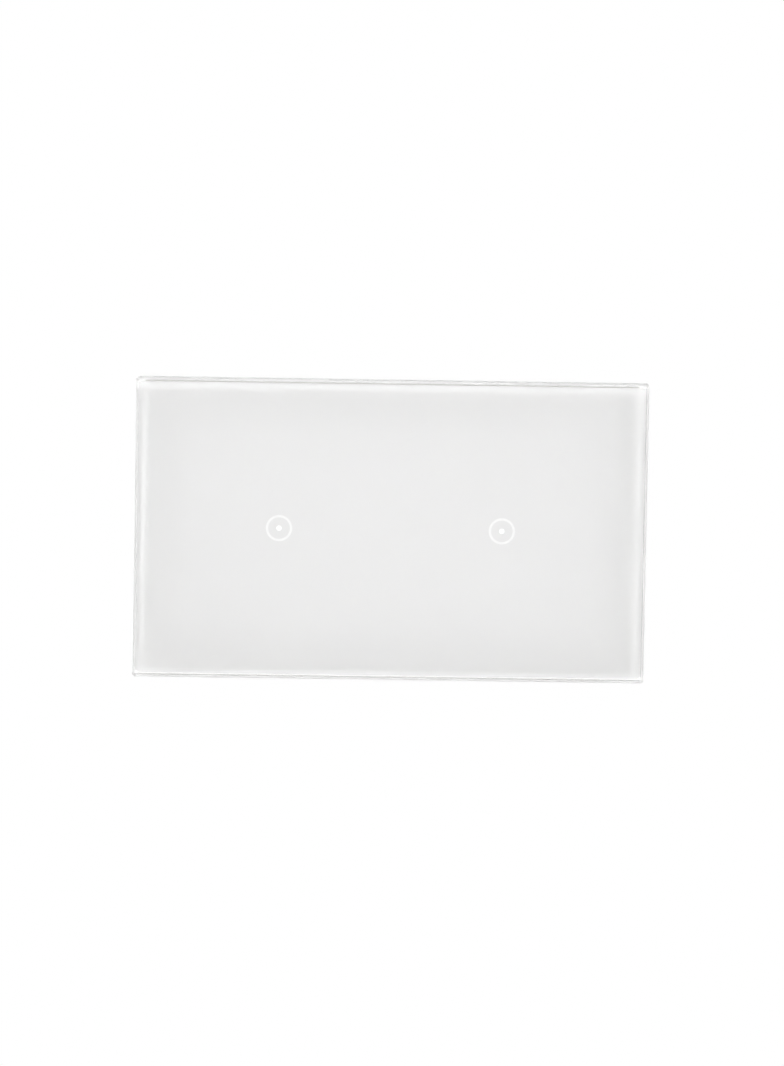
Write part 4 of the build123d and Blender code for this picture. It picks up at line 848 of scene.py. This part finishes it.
# %% Circuit boards
WEAVE_MM = 0.5
TRACK_MM = 5.0
TRACK_UNEVEN = 0.8
COPPER_FROM = 0.34
COPPER_TO = 0.30
COPPER_OVER_WEAVE = 3.0
BOARD_DEPTH_MM = 0.006
WAVE_RADIANS = 20.0


def wave_scale(width_mm):
    """The scale of a wave node whose single waves have this width."""
    return math.tau / WAVE_RADIANS * per_mm(width_mm)


def masked_board(name, mask_colour, copper_colour):
    """A solder mask over copper tracks and glass cloth."""
    material, tree, place = new_material(name)
    tracks = add(tree, "ShaderNodeTexVoronoi", {
        "Vector": place,
        "Scale": per_mm(TRACK_MM),
        "Randomness": TRACK_UNEVEN,
    }, distance="CHEBYCHEV", feature="F1")
    copper = add(tree, "ShaderNodeMapRange", {
        "Value": tracks.outputs["Distance"],
        "From Min": COPPER_TO,
        "From Max": COPPER_FROM,
        "To Min": 1.0,
        "To Max": 0.0,
    })
    threads = []
    for axis in ("X", "Z"):
        threads.append(add(tree, "ShaderNodeTexWave", {
            "Vector": place,
            "Scale": wave_scale(WEAVE_MM),
        }, bands_direction=axis).outputs["Fac"])
    weave = add(tree, "ShaderNodeMath", {0: threads[0], 1: threads[1]}, operation="MULTIPLY")
    height = add(tree, "ShaderNodeMath", {
        0: copper,
        1: COPPER_OVER_WEAVE,
        2: weave,
    }, operation="MULTIPLY_ADD")
    return close_two_tone(material, tree, copper, (mask_colour, copper_colour), {
        "Roughness": 0.28,
        "IOR": 1.52,
    }, height, BOARD_DEPTH_MM)


# The touch board's mask is white, so that the board doesn't show through the enamel as a dark patch. The
# power board's is the usual green.
finishes["white_circuit_board"] = masked_board("white_solder_mask", "#E9EAE6", "#F2F2EE")
finishes["green_circuit_board"] = masked_board("green_solder_mask", "#14613B", "#2A8253")
print("boards:", TRACK_MM, "mm tracks")

# %% [markdown]
# ### Wound wire
# Transformer, choke and relay coils are wound with enamelled copper wire. Single turns are too fine to
# model, but they show as close ridges across the winding, so a wave along the winding's axis gives their
# relief, and the same wave paints the colour darker in the valley between two turns: painted shade. The
# varnish on the wire is a thin coat over the metal. Real wire here is 0.1 mm thick; it is drawn at 0.3 mm
# to show.

# %% Wound wire
WIRE_MM = 0.3
WIRE_DEPTH_MM = 0.08
WIRE_UNEVEN = 0.4


def wound_wire(name, axis):
    """Close turns of enamelled wire round an axis."""
    material, tree, place = new_material(name)
    turns = add(tree, "ShaderNodeTexWave", {
        "Vector": place,
        "Scale": wave_scale(WIRE_MM),
        "Distortion": WIRE_UNEVEN,
        "Detail": 1.0,
    }, bands_direction=axis).outputs["Fac"]
    # The darker colour lies in the low valleys of the wave: painted shade between the turns.
    return close_two_tone(material, tree, turns, ("#6E3518", "#B5693B"), {
        "Metallic": 0.85,
        "Roughness": 0.32,
        "Coat Weight": 0.6,
        "Coat Roughness": 0.15,
    }, turns, WIRE_DEPTH_MM)


finishes["enamelled_copper"] = wound_wire("enamelled_copper_turns_x", "X")
turns_along_y = wound_wire("enamelled_copper_turns_y", "Y")
turns_along_z = wound_wire("enamelled_copper_turns_z", "Z")
print("wire drawn at", WIRE_MM, "mm")

# %% [markdown]
# ### Foam, tape, sleeve, ferrite and acrylic
# The last few are neither moulded nor metal. Acrylic foam tape is full of small closed cells, and so is
# the conductive foam under the touch marks. Polyester tape is a glossy yellow film in overlapping turns. The
# capacitors wear a shrunk sleeve with a faint orange peel, the transformer's core is sintered ferrite with a
# sandy grain, and the light guides are clear acrylic with a matt end.

# %% Foams
CELL_MIDDLE = 0.15
CELL_WALL = 0.65


def foam(name, colour, pit_painted_shade_colour, cell_mm, depth_mm):
    """Closed cells cut open by the slitting knife, with painted shade in the hollow of each cell."""
    material, tree, place = new_material(name)
    cells = add(tree, "ShaderNodeTexVoronoi", {"Vector": place, "Scale": per_mm(cell_mm)})
    walls = add(tree, "ShaderNodeMapRange", {
        "Value": cells.outputs["Distance"],
        "From Min": CELL_MIDDLE,
        "From Max": CELL_WALL,
    })
    # The hollow middle of each cell takes the darker colour: painted shade in the pits, the walls stay
    # lighter.
    return close_two_tone(material, tree, walls, (pit_painted_shade_colour, colour), {"Roughness": 0.85}, walls, depth_mm)


# White acrylic foam with fine cells, and near black foam filled with carbon, with coarser ones.
finishes["foam_tape"] = foam("acrylic_foam_tape", "#DAD9D5", "#C3C2BD", 0.30, 0.04)
finishes["conductive_foam"] = foam("carbon_filled_foam", "#3A3A3C", "#232325", 0.45, 0.10)
print("finishes so far:", len(finishes))

# %% Polyester tape
TAPE_LAP_MM = 3.0
TAPE_DEPTH_MM = 0.03

tape, tree, place = new_material("yellow_polyester_tape")
laps = add(tree, "ShaderNodeTexWave", {
    "Vector": place,
    "Scale": wave_scale(TAPE_LAP_MM),
}, bands_direction="X", wave_profile="SAW").outputs["Fac"]
finishes["polyester_tape"] = close_two_tone(tape, tree, laps, ("#D9B432", "#E8C84E"), {
    "Roughness": 0.22,
    "IOR": 1.64,
}, laps, TAPE_DEPTH_MM)
print("tape laps:", TAPE_LAP_MM, "mm")

# %% Sleeve, ferrite and acrylic
PEEL_MM = 0.8
PEEL_DEPTH_MM = 0.02
SAND_MM = 0.25
SAND_DEPTH_MM = 0.02
FROST_MM = 0.4
FROST_DEPTH_MM = 0.01

sleeve, tree, place = new_material("dark_shrunk_sleeve")
peel = add(tree, "ShaderNodeTexNoise", {"Vector": place, "Scale": per_mm(PEEL_MM)})
finishes["capacitor_sleeve"] = close_two_tone(sleeve, tree, peel, ("#2A2C3B", "#343749"), {
    "Roughness": 0.25,
    "IOR": 1.53,
}, peel, PEEL_DEPTH_MM)

ferrite, tree, place = new_material("sintered_ferrite")
sand = add(tree, "ShaderNodeTexNoise", {"Vector": place, "Scale": per_mm(SAND_MM), "Detail": 4.0})
grains = add(tree, "ShaderNodeMapRange", {"Value": sand, **NOISE_RANGE})
finishes["ferrite"] = close_two_tone(ferrite, tree, grains, ("#35363A", "#4A4B50"), {
    "Roughness": 0.62,
    "Specular IOR Level": 0.6,
}, sand, SAND_DEPTH_MM)

acrylic, tree, place = new_material("clear_cast_acrylic")
frost = add(tree, "ShaderNodeTexNoise", {"Vector": place, "Scale": per_mm(FROST_MM), "Detail": 3.0})
finishes["clear_acrylic"] = close_two_tone(acrylic, tree, frost, ("#F4F8F9", "#E8EFF1"), {
    "Roughness": 0.12,
    "IOR": 1.49,
    "Transmission Weight": 1.0,
}, frost, FROST_DEPTH_MM)
print("finishes in all:", len(finishes))

# %% [markdown]
# ## Numbers at the terminals
# The four terminals are told apart by a digit sunk into the housing beside each screw, as the mould leaves
# it. Sunk digits need the housing itself to be cut, so the tree starts from the housing's own mesh and
# takes four solid digits away from it. Each digit is a filled outline made thick, with its bottom closed.
# The cut needs the exact solver, because the quick one loses the thin corners of a 3 and a 4. A second tree
# uses the same digits, made less deep, as the white paint in the bottom of each number.

# %% Sizes of the numbers
TERMINAL_COUNT = 4
# The row's height is that of the middle of the digits, from the middle of the switch.
NUMBER_SIZES = {
    "Digit Height": 3.4 * MM,
    "Sink": 0.3 * MM,
    "Row Height": -18.2 * MM,
    "Pitch": 8.0 * MM,
}
# The cutting digits are twice as thick as they sink in, so they reach out of the housing.
CUT_SHARE = 2.0
PAINT_SHARE = 0.6
FACING_BACK = (math.radians(90), 0.0, math.radians(180))

housing_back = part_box("terminal_housing")[1].y
print("housing's back at", round(housing_back / MM, 2), "mm")


# %% Numbers at the terminals
def solid_digit(tree, size, number, depth):
    """One digit as a closed solid of this depth."""
    text = add(tree, "GeometryNodeStringToCurves", {
        "String": str(number),
        "Size": size["Digit Height"],
    }, align_x="CENTER", align_y="MIDDLE")
    outline = add(tree, "GeometryNodeRealizeInstances", {0: text})
    flat = add(tree, "GeometryNodeFillCurve", {0: outline})
    thick = add(tree, "GeometryNodeExtrudeMesh", {
        "Mesh": flat,
        "Offset Scale": depth,
        "Individual": False,
    })
    bottom = add(tree, "GeometryNodeFlipFaces", {0: flat})
    both = add(tree, "GeometryNodeJoinGeometry")
    for part in (thick, bottom):
        tree.links.new(part.outputs[0], both.inputs[0])
    return add(tree, "GeometryNodeMergeByDistance", {0: both, "Distance": MERGE_DISTANCE})


def digit_row(tree, size, share):
    """The digits 1 to 4 from the bottom of the sunk shape up, as thick as this share of its depth."""
    digits = add(tree, "GeometryNodeJoinGeometry")
    thickness = add(tree, "ShaderNodeMath", {0: size["Sink"], 1: share}, operation="MULTIPLY")
    sunk_y = add(tree, "ShaderNodeMath", {0: housing_back, 1: size["Sink"]}, operation="SUBTRACT")
    for number in range(1, TERMINAL_COUNT + 1):
        steps = (TERMINAL_COUNT + 1) / 2 - number
        across = add(tree, "ShaderNodeMath", {0: size["Pitch"], 1: steps}, operation="MULTIPLY")
        placed = add(tree, "GeometryNodeTransform", {
            "Geometry": solid_digit(tree, size, number, thickness),
            "Translation": add(tree, "ShaderNodeCombineXYZ", {0: across, 1: sunk_y, 2: size["Row Height"]}),
            "Rotation": FACING_BACK,
        })
        tree.links.new(placed.outputs[0], digits.inputs[0])
    return digits


def numbers_tree():
    """The housing with the digits cut into its back, counted from the left as seen from behind."""
    tree, size = new_tree("sunk_numbers", NUMBER_SIZES, takes_mesh=True)
    cut = add(tree, "GeometryNodeMeshBoolean", {
        0: size["Geometry"],
        1: digit_row(tree, size, CUT_SHARE),
    }, operation="DIFFERENCE", solver="EXACT")
    close_tree(tree, cut, finishes["terminal_nylon"])
    return tree


def paint_tree():
    """White paint that fills the lower part of each digit."""
    tree, size = new_tree("number_paint", NUMBER_SIZES)
    close_tree(tree, digit_row(tree, size, PAINT_SHARE), number_paint)
    return tree


# Paint wiped into the sunk digits: a plain white with a dry surface.
number_paint = moulded("white_number_paint", "#F1F1EE", "#EAEAE6", 0.55, 0.40, 0.010, 1.5)
plain_housing = merged_copy("terminal_housing", "plain_housing")
numbered = grow("numbered_housing", numbers_tree(), NUMBER_SIZES, "wall_unit", plain_housing)
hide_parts("terminal_housing")
paint = grow("number_paint", paint_tree(), NUMBER_SIZES, "wall_unit")

# %% [markdown]
# ## Ribs in the box's back
# The sunk field in the back of the box is a thin flat wall, and thin flat walls warp as they cool. Low ribs
# hold them straight. They are alike and evenly spaced, so a tree sets one bar in rows and another in
# columns. The columns stand a hair lower than the rows, so no two faces lie in one plane.

# %% Sizes of the ribs
# The sunk field's floor, middle, width and height, as the rear box has them.
FIELD_FLOOR = 23.3 * MM
FIELD_CENTRE_Z = 7.84 * MM
FIELD_WIDTH = 65.72 * MM
FIELD_HEIGHT = 20.16 * MM
ROWS = 2
COLUMNS = 7
RIB_SIZES = {
    "Row Length": FIELD_WIDTH,
    "Row Step": FIELD_HEIGHT / (ROWS + 1),
    "Row Count": ROWS,
    "Column Length": FIELD_HEIGHT,
    "Column Step": FIELD_WIDTH / (COLUMNS + 1),
    "Column Count": COLUMNS,
    "Rib Width": 1.1 * MM,
    "Rib Height": 0.28 * MM,
}
COLUMN_DROP = 0.03 * MM
print("ribs:", ROWS, "rows and", COLUMNS, "columns")


# %% Ribs in the box's back
def rib_tree():
    """Two sets of bars across each other."""
    tree, size = new_tree("stiffening_ribs", RIB_SIZES)
    sets = add(tree, "GeometryNodeJoinGeometry")
    for kind, lengthwise, drop in (("Row", 0, 0.0), ("Column", 2, COLUMN_DROP)):
        crosswise = 2 - lengthwise
        height = add(tree, "ShaderNodeMath", {0: size["Rib Height"], 1: drop}, operation="SUBTRACT")
        bar_size = add(tree, "ShaderNodeCombineXYZ", {
            lengthwise: size[kind + " Length"],
            1: height,
            crosswise: size["Rib Width"],
        })
        bar = add(tree, "GeometryNodeMeshCube", {"Size": bar_size})
        step = add(tree, "ShaderNodeCombineXYZ", {crosswise: size[kind + " Step"]})
        spans = add(tree, "ShaderNodeMath", {0: size[kind + " Count"], 1: 1.0}, operation="SUBTRACT")
        half = add(tree, "ShaderNodeMath", {0: spans, 1: -0.5}, operation="MULTIPLY")
        start = add(tree, "ShaderNodeVectorMath", {0: step, "Scale": half}, operation="SCALE")
        lift = add(tree, "ShaderNodeMath", {0: height, 1: 0.5, 2: FIELD_FLOOR}, operation="MULTIPLY_ADD")
        placed = add(tree, "GeometryNodeTransform", {
            "Geometry": in_a_line(tree, bar, size[kind + " Count"], step, start),
            "Translation": add(tree, "ShaderNodeCombineXYZ", {1: lift, 2: FIELD_CENTRE_Z}),
        })
        tree.links.new(placed.outputs[0], sets.inputs[0])
    close_tree(tree, sets, finishes["polycarbonate_box"])
    return tree


ribs = grow("back_ribs", rib_tree(), RIB_SIZES, "wall_unit")

# %% [markdown]
# ## Finishes onto the pieces
# The other nodes keep the shape they have in the frame. Each gets the finish of its own slot, and where a
# winding runs another way, its own turns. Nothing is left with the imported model's plain colour. The packed
# material's name is the slot's name, with a number after a full stop where Blender had to add one.

# %% Finishes onto the pieces
own_finish = {
    "input_choke": turns_along_y,
    "left_relay_coil": turns_along_z,
    "right_relay_coil": turns_along_z,
}
replaced = {"glass_panel", "enamel_coat", "ring_marks", "dot_marks", "terminal_housing"}
dressed = [name for name in nodes if name not in replaced]
for node_name in dressed:
    slots = nodes[node_name].data.materials
    for number, plain in enumerate(slots):
        slots[number] = own_finish.get(node_name, finishes[plain.name.split(".")[0]])
print("dressed", len(dressed), "nodes")
